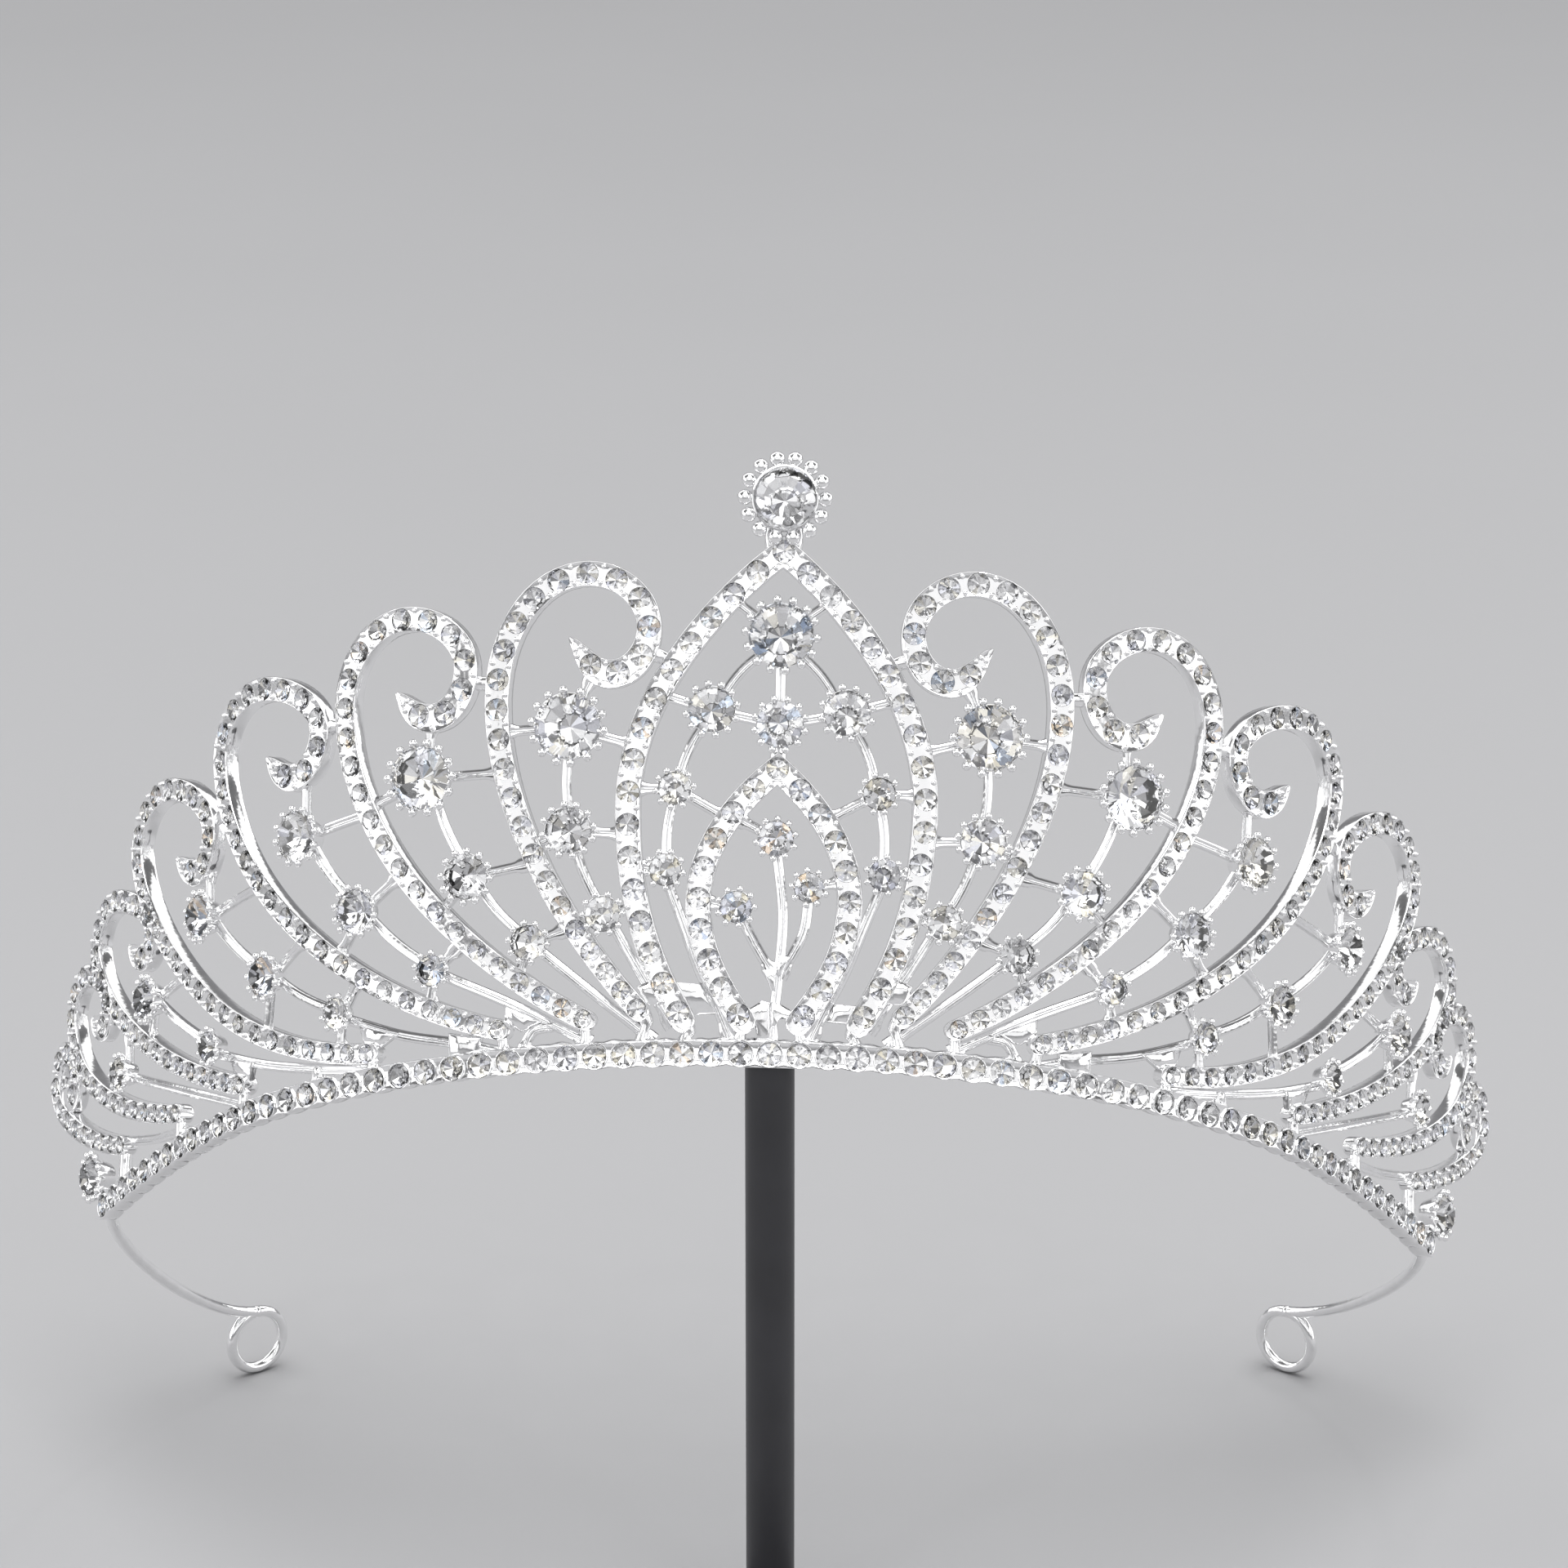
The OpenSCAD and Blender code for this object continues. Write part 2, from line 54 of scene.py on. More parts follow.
# The crown's drawing, in millimetres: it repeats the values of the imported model
BAND_REACH = 90
BAND_DROP = 19
FRONT_R, FRONT_REACH = 217, 20
SIDE_R, SIDE_REACH = 50, 62
END_R = 240
FRONT_HEIGHT = 62
CROWN_Y = 9.5
LEAN, ROLL = math.radians(20), math.radians(1.6)
FOOT_R, FOOT_T = 16, 2.5
TOP_HEIGHT, TOP_STONE, TOP_BEADS = 54.6, 6.1, 14
EYE_X, EYE_BACK, EYE_R, EYE_YAW = 59, 62.5, 3.4, math.radians(40)
WIRE_INSET = 1.5
WIRE_START_PULL = (3, 9, -8)
WIRE_EYE_PULL, WIRE_EYE_RISE = 8, 1.5
BAND_PITCH = 2.85
ALMOND_PITCH, ALMOND_FIRST = 3.2, 2
SCROLL_PITCH, SCROLL_FIRST, SCROLL_LAST = 3, 1.35, 3.4
# Scroll foot: spacing of its stones, run over which that widens, rounding
FOOT_PITCH, FOOT_RUN, FOOT_ROUND = 2.2, 18, 1.1
# Scroll widths; its stones have their full size at FULL_W
FOOT_W, HOOK_W, TIP_W, FULL_W = 2.1, 2.9, 0.3, 2.5
HOOK_PULL, TIP_PULL, TIP_SHARE = 0.5, (0.75, 0.66), 0.38
# Claw stones: height of the girdle, then its gain, the cup's back and its depth as shares of the diameter
GIRDLE_BASE, GIRDLE_LIFT, BACK_SHARE, CUP_DEPTH, CUP_GAP = 0.9, 0.12, 0.32, 0.4, 0.25

# How far the band's lower edge runs in between its stones, and how far stones sit below a bar's face
BAND_SCALLOP, BAND_SINK, BAR_SINK = 0.22, 0.04, 0.06
# What each scroll is thinner than the last, what almonds are thicker, and bare metal beside a scroll stone
THINNING, ALMOND_EXTRA, EDGE_ROOM = 0.02, 0.07, 0.3
# Points nearer to an almond's apex than this share of the bar's width are left out
APEX_CLEAR = 0.42
# Grains: distance from the bar's edge, then that and the share of their radius on the end scroll
GRAIN_INSET, END_INSET, END_GRAIN = 0.42, 0.62, 0.8
# Grains between a hook's last stone and its tip: how far along, half their spread, share of their radius
TIP_GRAINS = [(1.45, 0.5, 1), (2.05, 0.24, 0.85)]
# Claws: the diameter over which a stone takes them, their count and the radius of their tips
CLAWS = [(5.5, 14, 0.47), (4.1, 12, 0.4), (3.8, 11, 0.4), (3.1, 10, 0.35), (0, 9, 0.35)]
# Soldered end of a thin bar: share that it widens by, how far that holds, and how far it fades over
FLARE, FLARE_FLAT, FLARE_RUN = 0.55, 1.15, 0.8
# Legs: half width, its waist and its spread at the band, half thickness, and height of the leg's end
LEG_HALF, LEG_WAIST, LEG_SPREAD, LEG_THICK, LEG_RISE = 0.8, 0.26, 1.6, 0.85, 0.8
# Legs this far outside their bar's foot start inside the bar, and the others under it: start along the
# bar, first pull along the bar and down, and height of the second pull
LEG_APART, LEG_INSIDE, LEG_UNDER = 0.4, (1.4, 0.9, 0.5, 1.8), (0.7, -0.9, 0, 2.6)
# Solder along the band, then its height, half width and half thickness, each with how much it wavers
SEAM_REACH, SEAM_FADE, SEAM_STEP, SEAM_WAVES = 34, 6, 0.35, (0.7, 1.3, 2.3, 3.7)
SEAM_RISE, SEAM_HALF, SEAM_THICK = (1.24, 0.06), (0.3, 0.12), (1.03, 0.1)
# Webs of solder: half thickness in the middle and at the sides, and softening of the edges
WEB_THICK, SIDE_WEB_THICK, WEB_SOFT = 0.72, 0.52, 0.3
# Drops of solder: half width, which is also their reach past both ends, and half thickness
NECK, STRUT_SOLDER, BRIDGE = (0.62, 0.62), (0.6, 0.5), (0.75, 0.66)
TOP_BEAD, BEAD_NECK = 0.78, (0.42, 0.34)
# End wires: what the radius is less than the solid's, and the eye's joint as a share of it
WIRE_GAP, EYE_JOIN = 0.01, 1.12
# Steps along paths and round sections
LIMB_STEPS, TURN_STEPS, ALMOND_STEPS, LEG_STEPS, STEM_STEPS, BAND_STEPS = 44, 14, 36, 18, 10, 512
LINK_STEPS, STRUT_STEPS, WIRE_STEPS, EYE_STEPS, PITCH_STEPS = 12, 8, 40, 56, 400
SEAT_SIDES, CUP_SIDES, TOP_SIDES, FOOT_SIDES, WIRE_SIDES, OVAL_SIDES = 28, 32, 56, 96, 16, 14
# Angle in degrees over which faces meet sharply
CREASE, SOLDER_CREASE = 38, 50

# Cut stones, as shares of the diameter: table, belt, then rise and depth of the small ones
TABLE_SHARE, BELT_SHARE, SMALL_RISE, SMALL_DEPTH = 0.34, 0.035, 0.12, (0.19, 0.23)
# Chance: turn of a claw in radians, slope of a stone, and shift of its lowest point as a share
CLAW_STRAY, STONE_TILT, TIP_STRAY = 0.03, 0.03, 0.04
# Stones over BIG_STONE across have BIG_FACETS facets round, and the others FACETS
BIG_STONE, BIG_FACETS, FACETS = 3.8, 12, 10
# Painted sparkle in the foil's colour: range of painted brightness of the facets that stand in for catching
# the light and of those that stand in for shade, which take turns, and the share that falls out of turn
PAINTED_LIT_RANGE, PAINTED_SHADE_RANGE, ODD_FACETS = (0.8, 1), (0, 0.65), 0.15
# Painted fire, a colour painted on a foil facet as if it threw it: the share of facets up to which it is met,
# and its tint
PAINTED_FIRE = [(0.12, (1, 0.97, 0.88)), (0.24, (0.93, 0.94, 1)), (0.25, (1, 0.84, 0.68)), (0.262, (0.78, 0.87, 1))]

# Scrolls of the right side: foot, direction and length of the first pull, length of the second pull,
# outermost point, top, side of the curl, bottom of the hook and tip, each as (along, height)
SCROLLS = [
    ((12.2, 3.2), 44, 9.5, 12, (27.9, 34.5), (19, 46.8), (13, 41.4), (16.8, 36.9), (20.8, 40.4)),
    ((17.2, 2.4), 23, 12, 14, (44.8, 33.8), (37.3, 42.2), (31.2, 37), (35, 32.3), (38.6, 34.8)),
    ((25.5, 1.5), 7, 17, 11, (64.5, 29), (56, 35.6), (48.1, 31), (52, 26.5), (55.6, 28.6)),
    ((39.5, -1), -6, 20, 8, (83.3, 19.6), (75.5, 25.8), (66.4, 21), (69.4, 17), (73.2, 18.6)),
    ((57.5, -4.8), 2, 18, 6, (94.1, 9.2), (88, 14.2), (79.2, 11), (81.4, 8.1), (84.4, 9.4)),
    ((70.5, -8), -4, 17, 7, (101, 1.8), (96, 6.2), (90.2, 2.9), (91.8, 0.5), (94.4, 1.6)),
    ((84, -11.8), -3, 9, 4, (106, -6), (103, -2.4), (99.4, -5), (100.8, -7.4), (103, -6.6)),
]
# Almonds, right half: foot, first pull, second pull, widest point, then the upper pulls and the apex
ALMONDS = [
    ((8, 2.2), (13, 9.5), (14.6, 17), (14.6, 24.5), (14.6, 36), (4.5, 46), (0, 49.4)),
    ((2, 2.2), (5, 6), (7.4, 10), (7.4, 15), (7.4, 20.5), (3.4, 25.2), (0, 28)),
]
# Claw stones: along, height, diameter
CENTRE = [
    (0, 41.1, 6.3), (-6.6, 33.6, 4.5), (0.1, 32.3, 4.5), (6.6, 33.6, 4.5), (-10, 25.8, 3.2), (10, 25.8, 3.2),
    (-10.7, 17.8, 3.1), (10.7, 17.8, 3.1), (0, 21.1, 3.4), (3.4, 16.4, 2.9), (-3.7, 14.3, 3.1),
]
SIDE = [
    (20.6, 31.6, 6.5), (20.3, 21.4, 4.5), (16.7, 13.3, 3.4),
    (35.3, 26.3, 6.3), (30.3, 16.6, 4.5), (23.9, 10.3, 3.4),
    (50.2, 20.5, 5), (42.4, 13, 4.3), (33.7, 7.3, 3),
    (66.9, 12.4, 4.5), (54.6, 6.3, 4), (44.4, 2.8, 3),
    (78.7, 3.7, 4.2), (64.2, -1, 3.2), (85, -4.2, 3.4), (91.5, -15.5, 4.4),
]
# Thin bars: the stone that each starts from, then the stone or the point where it ends, and its bow
CENTRE_LINKS = [
    (0, (-5.4, 45), 0), (0, (5.4, 45), 0), (0, 1, 0.5), (0, 2, 0), (0, 3, -0.5), (1, (-12.2, 35.2), 0),
    (3, (12.2, 35.2), 0), (2, 1, 0), (2, 3, 0), (2, (0, 28.4), 0), (1, 4, 0.4), (3, 5, -0.4),
    (4, (-14.4, 25.7), 0), (5, (14.4, 25.7), 0), (4, (-4.6, 22.9), 0), (5, (4.6, 22.9), 0),
    (4, 6, 0.3), (5, 7, -0.3), (6, (-14, 18), 0), (7, (14, 18), 0), (8, (-4.2, 23.2), 0),
    (9, (7.2, 17.2), 0), (10, (-7.2, 14.8), 0), (10, (0.3, 7.6), 0.15),
]
SIDE_LINKS = [
    (0, (18.4, 37), 0), (0, (27.6, 31), 0), (0, (13.9, 29.9), 0), (0, 1, -0.3),
    (1, (14.6, 21.2), 0), (1, (24.9, 19.6), 0), (1, 2, -0.3), (2, (13.1, 14.1), 0), (2, (19.6, 10.9), 0),
    (3, (35, 32.2), 0), (3, (27.2, 27), 0), (3, (42, 23.4), 0), (3, 4, -0.3),
    (4, (24, 18.1), 0), (4, (33.9, 12.6), 0), (4, 5, -0.3), (5, (20, 11.8), 0), (5, (25.2, 6.2), 0),
    (6, (50.4, 27), 0), (6, (41.6, 22.9), 0), (6, 7, -0.3),
    (7, (37.8, 16.8), 0), (7, (45.2, 8.2), 0), (7, 8, -0.3), (8, (31, 10), 0), (8, (34.2, 3.2), 0),
    (9, (67.2, 17.6), 0), (9, (56.2, 15.8), 0), (9, 10, -0.3),
    (10, (49.6, 10.4), 0), (10, (55.2, -0.4), 0), (10, 11, -0.3), (11, (42.4, 6.6), 0), (11, (44.6, -1.6), 0),
    (12, (71, 6.6), 0), (12, (79.6, -1), 0), (12, 13, -0.3), (14, (85.4, 0.4), 0), (15, (90, -18.6), 0),
]
# Long bars, as points
CENTRE_STEMS = [
    ((-10.5, 16.6), (-8.8, 12.4), (-7.2, 8.2), (-5.3, 4.4), (-3.9, 1.4)),
    ((10.5, 16.6), (8.8, 12.4), (7.2, 8.2), (5.3, 4.4), (3.9, 1.4)),
    ((0.1, 20.2), (0.9, 14), (0.7, 8.5), (0, 1)), ((3.4, 15.6), (2.9, 11.8), (0.7, 7.6)),
]
SIDE_STEMS = [
    ((15.9, 12.4), (12.4, 6.8), (9.6, 2.4)), ((23, 9.6), (17.4, 5.4), (11.4, 1)),
    ((32.7, 6.8), (25.6, 4.2), (17.6, 0.6)), ((43.6, 2.2), (37, 0.8), (30, 0.1), (24, -1)),
    ((21.4, 2.1), (23.2, 1.7), (24, 0.4), (24.1, -1)),
    ((63.2, -1.8), (55, -2.6), (47, -2.8), (41, -2.7), (37, -2.9)),
    ((84, -4.6), (72, -5.6), (60, -6.6), (55.5, -7.2)),
    ((85, -11.4), (77.6, -10.9), (70.4, -9.8), (66, -10.2)),
]
# Solder between neighbouring bars
SIDE_BRIDGES = [
    ((11.2, 38.6), (13.2, 39.2)), ((28.2, 35.8), (31, 35.8)), ((45, 31.8), (47.6, 31.6)),
    ((63.6, 23.4), (66, 22.4)), ((77, 11), (79.2, 10.8)), ((88, 2.4), (90.4, 2.6)), ((97, -5), (100, -5.4)),
]
TOP_NECKS = [((-1.3, 49.4), (-1.3, 51.7)), ((1.3, 49.4), (1.3, 51.7))]
# Flat webs of solder, as corners: those of the middle, then those of one side
WEBS = [
    ((-2.3, 4.3), (-0.9, 5.2), (-0.1, 5), (0, 1.3), (-1.3, 1.3), (-1.5, 2.9)),
    ((0, 5.1), (0.8, 5), (2.8, 3.9), (2.6, 3), (1.5, 3.6), (0.6, 3.4), (0.3, 2.6), (0, 2.6)),
    ((-0.9, 8.2), (0.5, 8.4), (0.4, 6.2), (0, 6.2)), ((0.6, 9.8), (1.7, 9.5), (0.9, 7.8), (0.5, 7.8)),
    ((-9.7, 6.9), (-7, 6.6), (-5.2, 3.8), (-8.2, 3.6)), ((6.2, 5), (8.7, 5), (8, 3.1), (5.2, 3.3)),
    ((-13.2, 6.3), (-11.3, 7.1), (-10.4, 4.8), (-12, 4.4)),
    ((11.8, 7.8), (13.8, 7), (13.2, 5.2), (10.8, 5.2)),
]
SIDE_WEBS = [
    ((28.5, 0.9), (32, 1.2), (31.8, -1.5), (28.9, -1.1)),
    ((22.4, 2.6), (26.3, 4.2), (26.2, 2.5), (24.5, 1.5)),
    ((37.6, 0.9), (42.2, 1.8), (41.4, -0.2), (39.4, -0.4)), ((57, -2.4), (61, -2.1), (60, -4), (57.4, -4.2)),
]
# Places along the band where the bars' legs stand, starting with the almonds
LEGS = [8.3, 3, 12.6, 18.1, 26.2, 40.4, 58.6, 71.4, 85]
# Short struts: along, and the height that they reach
SIDE_STRUTS = [(30.4, -0.2), (47.4, -3)]

# Stage, in metres and degrees. FOCAL is the focal length in pixels of a picture PHOTO_SIDE pixels wide
CAMERA_AT, CAMERA_DOWN = (0.0014, -0.4131, 0.2189), 17
SENSOR, FOCAL, PHOTO_SIDE = 36, 5625, 1920
FLOOR_HALF = 5
WASH_SIZE, WASH_ENERGY, WASH_AT = (4, 2.5), 32, (0, 1.9, 1.9)
FLOOR_ENERGY, FLOOR_SPREAD = 3.2, 70
# The room's light by height, from straight down at 0 to straight up at 1
ROOM = [(0, (0.6, 0.6, 0.61)), (0.5, (0.6, 0.6, 0.61)), (0.58, (0.3, 0.3, 0.31)), (1, (0.16, 0.16, 0.16))]
ROOM_STRENGTH = 0.8
PANEL_REACH, PANEL_CENTRE = 1.25, 0.085
# Studio panels: direction from the crown in degrees, with 0 in front, then width, height and brightness
PANELS = [
    ("front", 2, 24, 2, 0.5, 0.82), ("front_hot", -6, 24, 0.35, 0.3, 0.6), ("high", 0, 55, 1.9, 0.65, 1.9),
    ("left", -68, 16, 0.85, 0.7, 1.4), ("right", 68, 16, 0.85, 0.7, 1.4),
    ("far_left", -102, 18, 0.8, 0.6, 1.3), ("far_right", 102, 18, 0.8, 0.6, 1.3),
    ("back_left", -135, 22, 0.6, 0.5, 1.4), ("back_right", 135, 22, 0.6, 0.5, 1.4),
    ("top", 10, 80, 0.8, 0.8, 4), ("spark_left", -40, 50, 0.06, 0.06, 70),
    ("spark_right", 35, 42, 0.05, 0.05, 70), ("spark_back", 160, 50, 0.06, 0.06, 60),
]


def length(name, text, value, low, high):
    """A length property, given in millimetres and kept in metres."""
    return FloatProperty(name=name, description=text, default=value * MM, min=low * MM, max=high * MM,
                         unit="LENGTH", precision=5)


def fraction(name, text, value, low=0, high=1):
    return FloatProperty(name=name, description=text, default=value, min=low, max=high, subtype="FACTOR")


def colour(name, text, value):
    return FloatVectorProperty(name=name, description=text, default=value, size=3, min=0, max=1,
                               subtype="COLOR")


class CrownMetal(bpy.types.PropertyGroup):
    """Sizes of the cast bars, settings and wires."""
    bar_width: length("Bar width", "Width of the scroll and almond bars", 2.5, 2.3, 2.7)
    bar_thickness: length("Bar thickness", "Thickness of the scroll and almond bars", 1.8, 1.6, 1.85)
    band_height: length("Band height", "Height of the band", 2.6, 2.4, 2.8)
    band_thickness: length("Band thickness", "Thickness of the band", 2, 1.9, 2.2)
    link_width: length("Thin bar width", "Width of the bars between settings", 1.05, 0.9, 1.15)
    wire_width: length("End wire width", "Diameter of the end wires", 1.3, 1.1, 1.5)
    rim: length("Rim width", "Width of the raised rim along both edges of a bar", 0.2, 0.1, 0.3)
    sink: length("Rim height", "Height of the rims over the bar's face", 0.1, 0.02, 0.2)
    grain: length("Grain radius", "Radius of the grains between the small stones", 0.28, 0.1, 0.3)
    silver: colour("Silver", "Colour of the plated metal", (0.93, 0.93, 0.935))
    polish: fraction("Polish", "Roughness of the plated metal", 0.13)


class CrownStones(bpy.types.PropertyGroup):
    """Sizes and colours of the cut stones."""
    bar_stone: length("Bar stone", "Diameter of the small stones in scrolls and almonds", 2.2, 1.8, 2.3)
    band_stone: length("Band stone", "Diameter of the small stones in the band", 2.3, 2, 2.4)
    crown_share: fraction("Crown height", "Height over girdle, as a share of the diameter", 0.15, 0.05, 0.2)
    depth_share: fraction("Depth", "Depth under girdle, as a share of the diameter", 0.4, 0.3, 0.45)
    # Ends of the painted sparkle: painted shaded facets lean to the first colour, painted lit ones to the
    # second
    foil_painted_shade: colour("Dark foil", "Darkest tone behind a facet", (0.5, 0.5, 0.51))
    foil_painted_lit: colour("Light foil", "Lightest tone behind a facet", (1, 1, 1))
    glass: colour("Glass", "Colour of the stones' glass", (1, 1, 1))
    seed: IntProperty(name="Seed", description="Seed for the tones of the facets", default=7, min=0)


class CrownStage(bpy.types.PropertyGroup):
    """Post, floor and lights."""
    post: colour("Post", "Colour of the post and its foot", (0.012, 0.012, 0.014))
    floor: colour("Floor", "Colour of the floor", (0.22, 0.22, 0.225))
    light: fraction("Light", "Strength of the studio lights", 1, 0, 10)


# The wall that the crown is drawn on

FRONT_TURN = FRONT_REACH / FRONT_R
SIDE_TURN = FRONT_TURN + (SIDE_REACH - FRONT_REACH) / SIDE_R


def arc(start, radius, turn, e):
    """Points of an arc that starts at a heading, for headings e."""
    return np.array(start) + radius * np.stack([np.sin(e) - math.sin(turn), math.cos(turn) - np.cos(e)], -1)


FRONT_END = arc((0, 0), FRONT_R, 0, FRONT_TURN)
SIDE_END = arc(FRONT_END, SIDE_R, FRONT_TURN, SIDE_TURN)


def heading(a):
    """Turn of the wall at a distance from the centre, in radians."""
    return np.where(a <= FRONT_REACH, a / FRONT_R, np.where(
        a <= SIDE_REACH, FRONT_TURN + (a - FRONT_REACH) / SIDE_R, SIDE_TURN + (a - SIDE_REACH) / END_R))


def stand(p):
    """The crown's own frame to the part's frame: the right side hangs lower, then the whole leans back."""
    x = p[..., 0] * math.cos(ROLL) + p[..., 2] * math.sin(ROLL)
    z = p[..., 2] * math.cos(ROLL) - p[..., 0] * math.sin(ROLL)
    y = p[..., 1]
    return np.stack([x, CROWN_Y + y * math.cos(LEAN) + z * math.sin(LEAN),
                     FRONT_HEIGHT + z * math.cos(LEAN) - y * math.sin(LEAN)], -1)


def wall(s, h, d):
    """Points at s along the wall, at height h and d in front of its middle."""
    s, h, d = np.broadcast_arrays(*(np.asarray(v, float) for v in (s, h, d)))
    side, a = np.where(s < 0, -1.0, 1.0), np.abs(s)
    e = heading(a)
    q = np.where((a <= FRONT_REACH)[..., None], arc((0, 0), FRONT_R, 0, e), np.where(
        (a <= SIDE_REACH)[..., None], arc(FRONT_END, SIDE_R, FRONT_TURN, e),
        arc(SIDE_END, END_R, SIDE_TURN, e)))
    return stand(np.stack([side * (q[..., 0] + d * np.sin(e)), q[..., 1] - d * np.cos(e), h], -1))


def wall_axes(s, h):
    """Unit vectors along, up and out of the wall at (s, h)."""
    o = wall(s, h, 0)
    out, up = wall(s, h, 1) - o, wall(s, h + 1, 0) - o
    return np.array([-np.cross(out, up), up, out])


def flat(s, h, local):
    """Points in the flat plane that touches the wall at (s, h): local holds (along, up, out)."""
    return wall(s, h, 0) + np.asarray(local, float) @ wall_axes(s, h)


def drop(s):
    """How far the band has dropped at s."""
    return BAND_DROP * (np.asarray(s, float) / BAND_REACH) ** 2


def girdle(d):
    """Height of a claw stone's girdle over the middle of the wall."""
    return GIRDLE_BASE + GIRDLE_LIFT * d


def cup_floor(d):
    """Height of the floor inside the cup under a claw stone."""
    return girdle(d) - CUP_DEPTH * d - CUP_GAP


# Paths on the wall

def bezier(a, b, c, d, n):
    t = np.linspace(0, 1, n + 1)[:, None]
    a, b, c, d = (np.array(p, float) for p in (a, b, c, d))
    return a * (1 - t) ** 3 + b * 3 * t * (1 - t) ** 2 + c * 3 * t * t * (1 - t) + d * t ** 3


def quarter(c, p, q):
    """Quarter of an ellipse about c from p to q, without its first point."""
    t = np.linspace(0, math.pi / 2, TURN_STEPS + 1)[1:, None]
    c, p, q = (np.array(v, float) for v in (c, p, q))
    return c + (p - c) * np.cos(t) + (q - c) * np.sin(t)


def scroll_path(row):
    """Path of one scroll and the bar's width at each point."""
    foot, angle, pull, pull_2, outer, top, curl, hook, tip = row
    start = (foot[0] + pull * math.cos(math.radians(angle)), foot[1] + pull * math.sin(math.radians(angle)))
    hook_pull = (hook[0] + HOOK_PULL * (tip[0] - hook[0]), hook[1])
    tip_pull = np.array(tip) - TIP_SHARE * (tip[1] - hook[1]) * np.array(TIP_PULL)
    path = np.concatenate([
        bezier(foot, start, (outer[0], outer[1] - pull_2), outer, LIMB_STEPS),
        quarter((top[0], outer[1]), outer, top), quarter((top[0], curl[1]), top, curl),
        quarter((hook[0], curl[1]), curl, hook), bezier(hook, hook_pull, tip_pull, tip, TURN_STEPS)[1:]])
    wide = bpy.context.scene.crown_metal.bar_width / MM
    k = np.linspace(0, 1, TURN_STEPS + 1)[1:]
    widths = np.concatenate([np.linspace(FOOT_W, wide, LIMB_STEPS + 1), np.full(2 * TURN_STEPS, wide),
                             wide + (HOOK_W - wide) * k, HOOK_W + (TIP_W - HOOK_W) * k ** 1.7])
    return path, widths


def round_foot(path, widths):
    """Rounds the foot of a bar: adds points there and narrows the bar to the first of them."""
    c = distances(path)
    near = FOOT_ROUND * np.array([0, 0.06, 0.2, 0.4, 0.65])
    keep = c > FOOT_ROUND * 0.8
    at = np.concatenate([near, c[keep]])
    share = np.clip(1 - at / FOOT_ROUND, 0, 1)
    wide = np.interp(at, c, widths) * (0.3 + 0.7 * np.sqrt(1 - share ** 2))
    return np.concatenate([along_path(path, near), path[keep]]), wide


def almond_path(row):
    """Right half of an almond, from its foot to its apex."""
    return np.concatenate([bezier(*row[:4], ALMOND_STEPS), bezier(*row[3:], ALMOND_STEPS)[1:]])


def sided(path, side):
    """A path of the right side, on the side that is asked for."""
    return np.array(path, float) * (side, 1)


def distances(path):
    return np.concatenate([[0], np.cumsum(np.linalg.norm(np.diff(path, axis=0), axis=1))])


def along_path(path, places, values=None):
    """Points of a path at distances along it, or the values that are given for its points."""
    c, values = distances(path), path if values is None else values
    return np.stack([np.interp(places, c, values[:, 0]), np.interp(places, c, values[:, 1])], -1)


def stone_places(path, pitch, first, last, foot_pitch=None):
    """Distances of the stones along a path, at an even pitch or at one that is closer near the foot."""
    c = np.linspace(first, distances(path)[-1] - last, PITCH_STEPS + 1)
    steps = np.interp(c, (0, FOOT_RUN), (foot_pitch or pitch, pitch))
    passed = np.concatenate([[0], np.cumsum(np.diff(c) * 2 / (steps[1:] + steps[:-1]))])
    count = math.floor(passed[-1] + 0.5)
    return np.interp(np.linspace(0, passed[-1], count + 1), passed, c)


def smoothed(points):
    """A smooth path through the given points."""
    p = np.array(points, float)
    p = np.concatenate([[2 * p[0] - p[1]], p, [2 * p[-1] - p[-2]]])
    t = np.linspace(0, 1, STEM_STEPS, endpoint=False)[:, None]
    parts = [0.5 * (2 * p[i] + (p[i + 1] - p[i - 1]) * t
                    + (2 * p[i - 1] - 5 * p[i] + 4 * p[i + 1] - p[i + 2]) * t ** 2
                    + (3 * p[i] - p[i - 1] - 3 * p[i + 1] + p[i + 2]) * t ** 3) for i in range(1, len(p) - 2)]
    return np.concatenate(parts + [p[-2:-1]])


def tangents(path):
    t = np.gradient(np.asarray(path, float), axis=0)
    return t / np.linalg.norm(t, axis=1)[:, None]


def normals(path):
    """Unit normals to the left of a flat path."""
    t = tangents(path)
    return np.stack([-t[:, 1], t[:, 0]], -1)


# Meshes

class Casting:
    """Gathers points and faces, in millimetres, into one mesh."""

    def __init__(self):
        self.points, self.faces, self.looks, self.tones, self.count = [], [], [], [], 0

    def add(self, points, faces, looks=0, tones=None):
        points = np.asarray(points, float).reshape(-1, 3)
        self.faces += [[self.count + k for k in f] for f in faces]
        self.looks += [looks] * len(faces) if isinstance(looks, int) else list(looks)
        self.tones += [(1, 1, 1, 1)] * len(faces) if tones is None else list(tones)
        self.points.append(points)
        self.count += len(points)

    def mesh(self, name):
        made = bpy.data.meshes.new(name)
        made.from_pydata(np.concatenate(self.points) * MM, [], self.faces)
        made.update()
        return made


def circle(n):
    """Cosines and sines of n even steps round a circle."""
    return [(math.cos(2 * math.pi * i / n), math.sin(2 * math.pi * i / n)) for i in range(n)]


def loops(rings, n, closed=False):
    """Faces between rings of n points, with a cap at both ends of an open path."""
    rows = [range(i * n, i * n + n) for i in range(rings)]
    if closed:
        rows.append(rows[0])
    faces = [[a[j], b[j], b[(j + 1) % n], a[(j + 1) % n]] for a, b in zip(rows, rows[1:]) for j in range(n)]
    if not closed:
        faces += [list(rows[0]), list(rows[-1])[::-1]]
    return faces


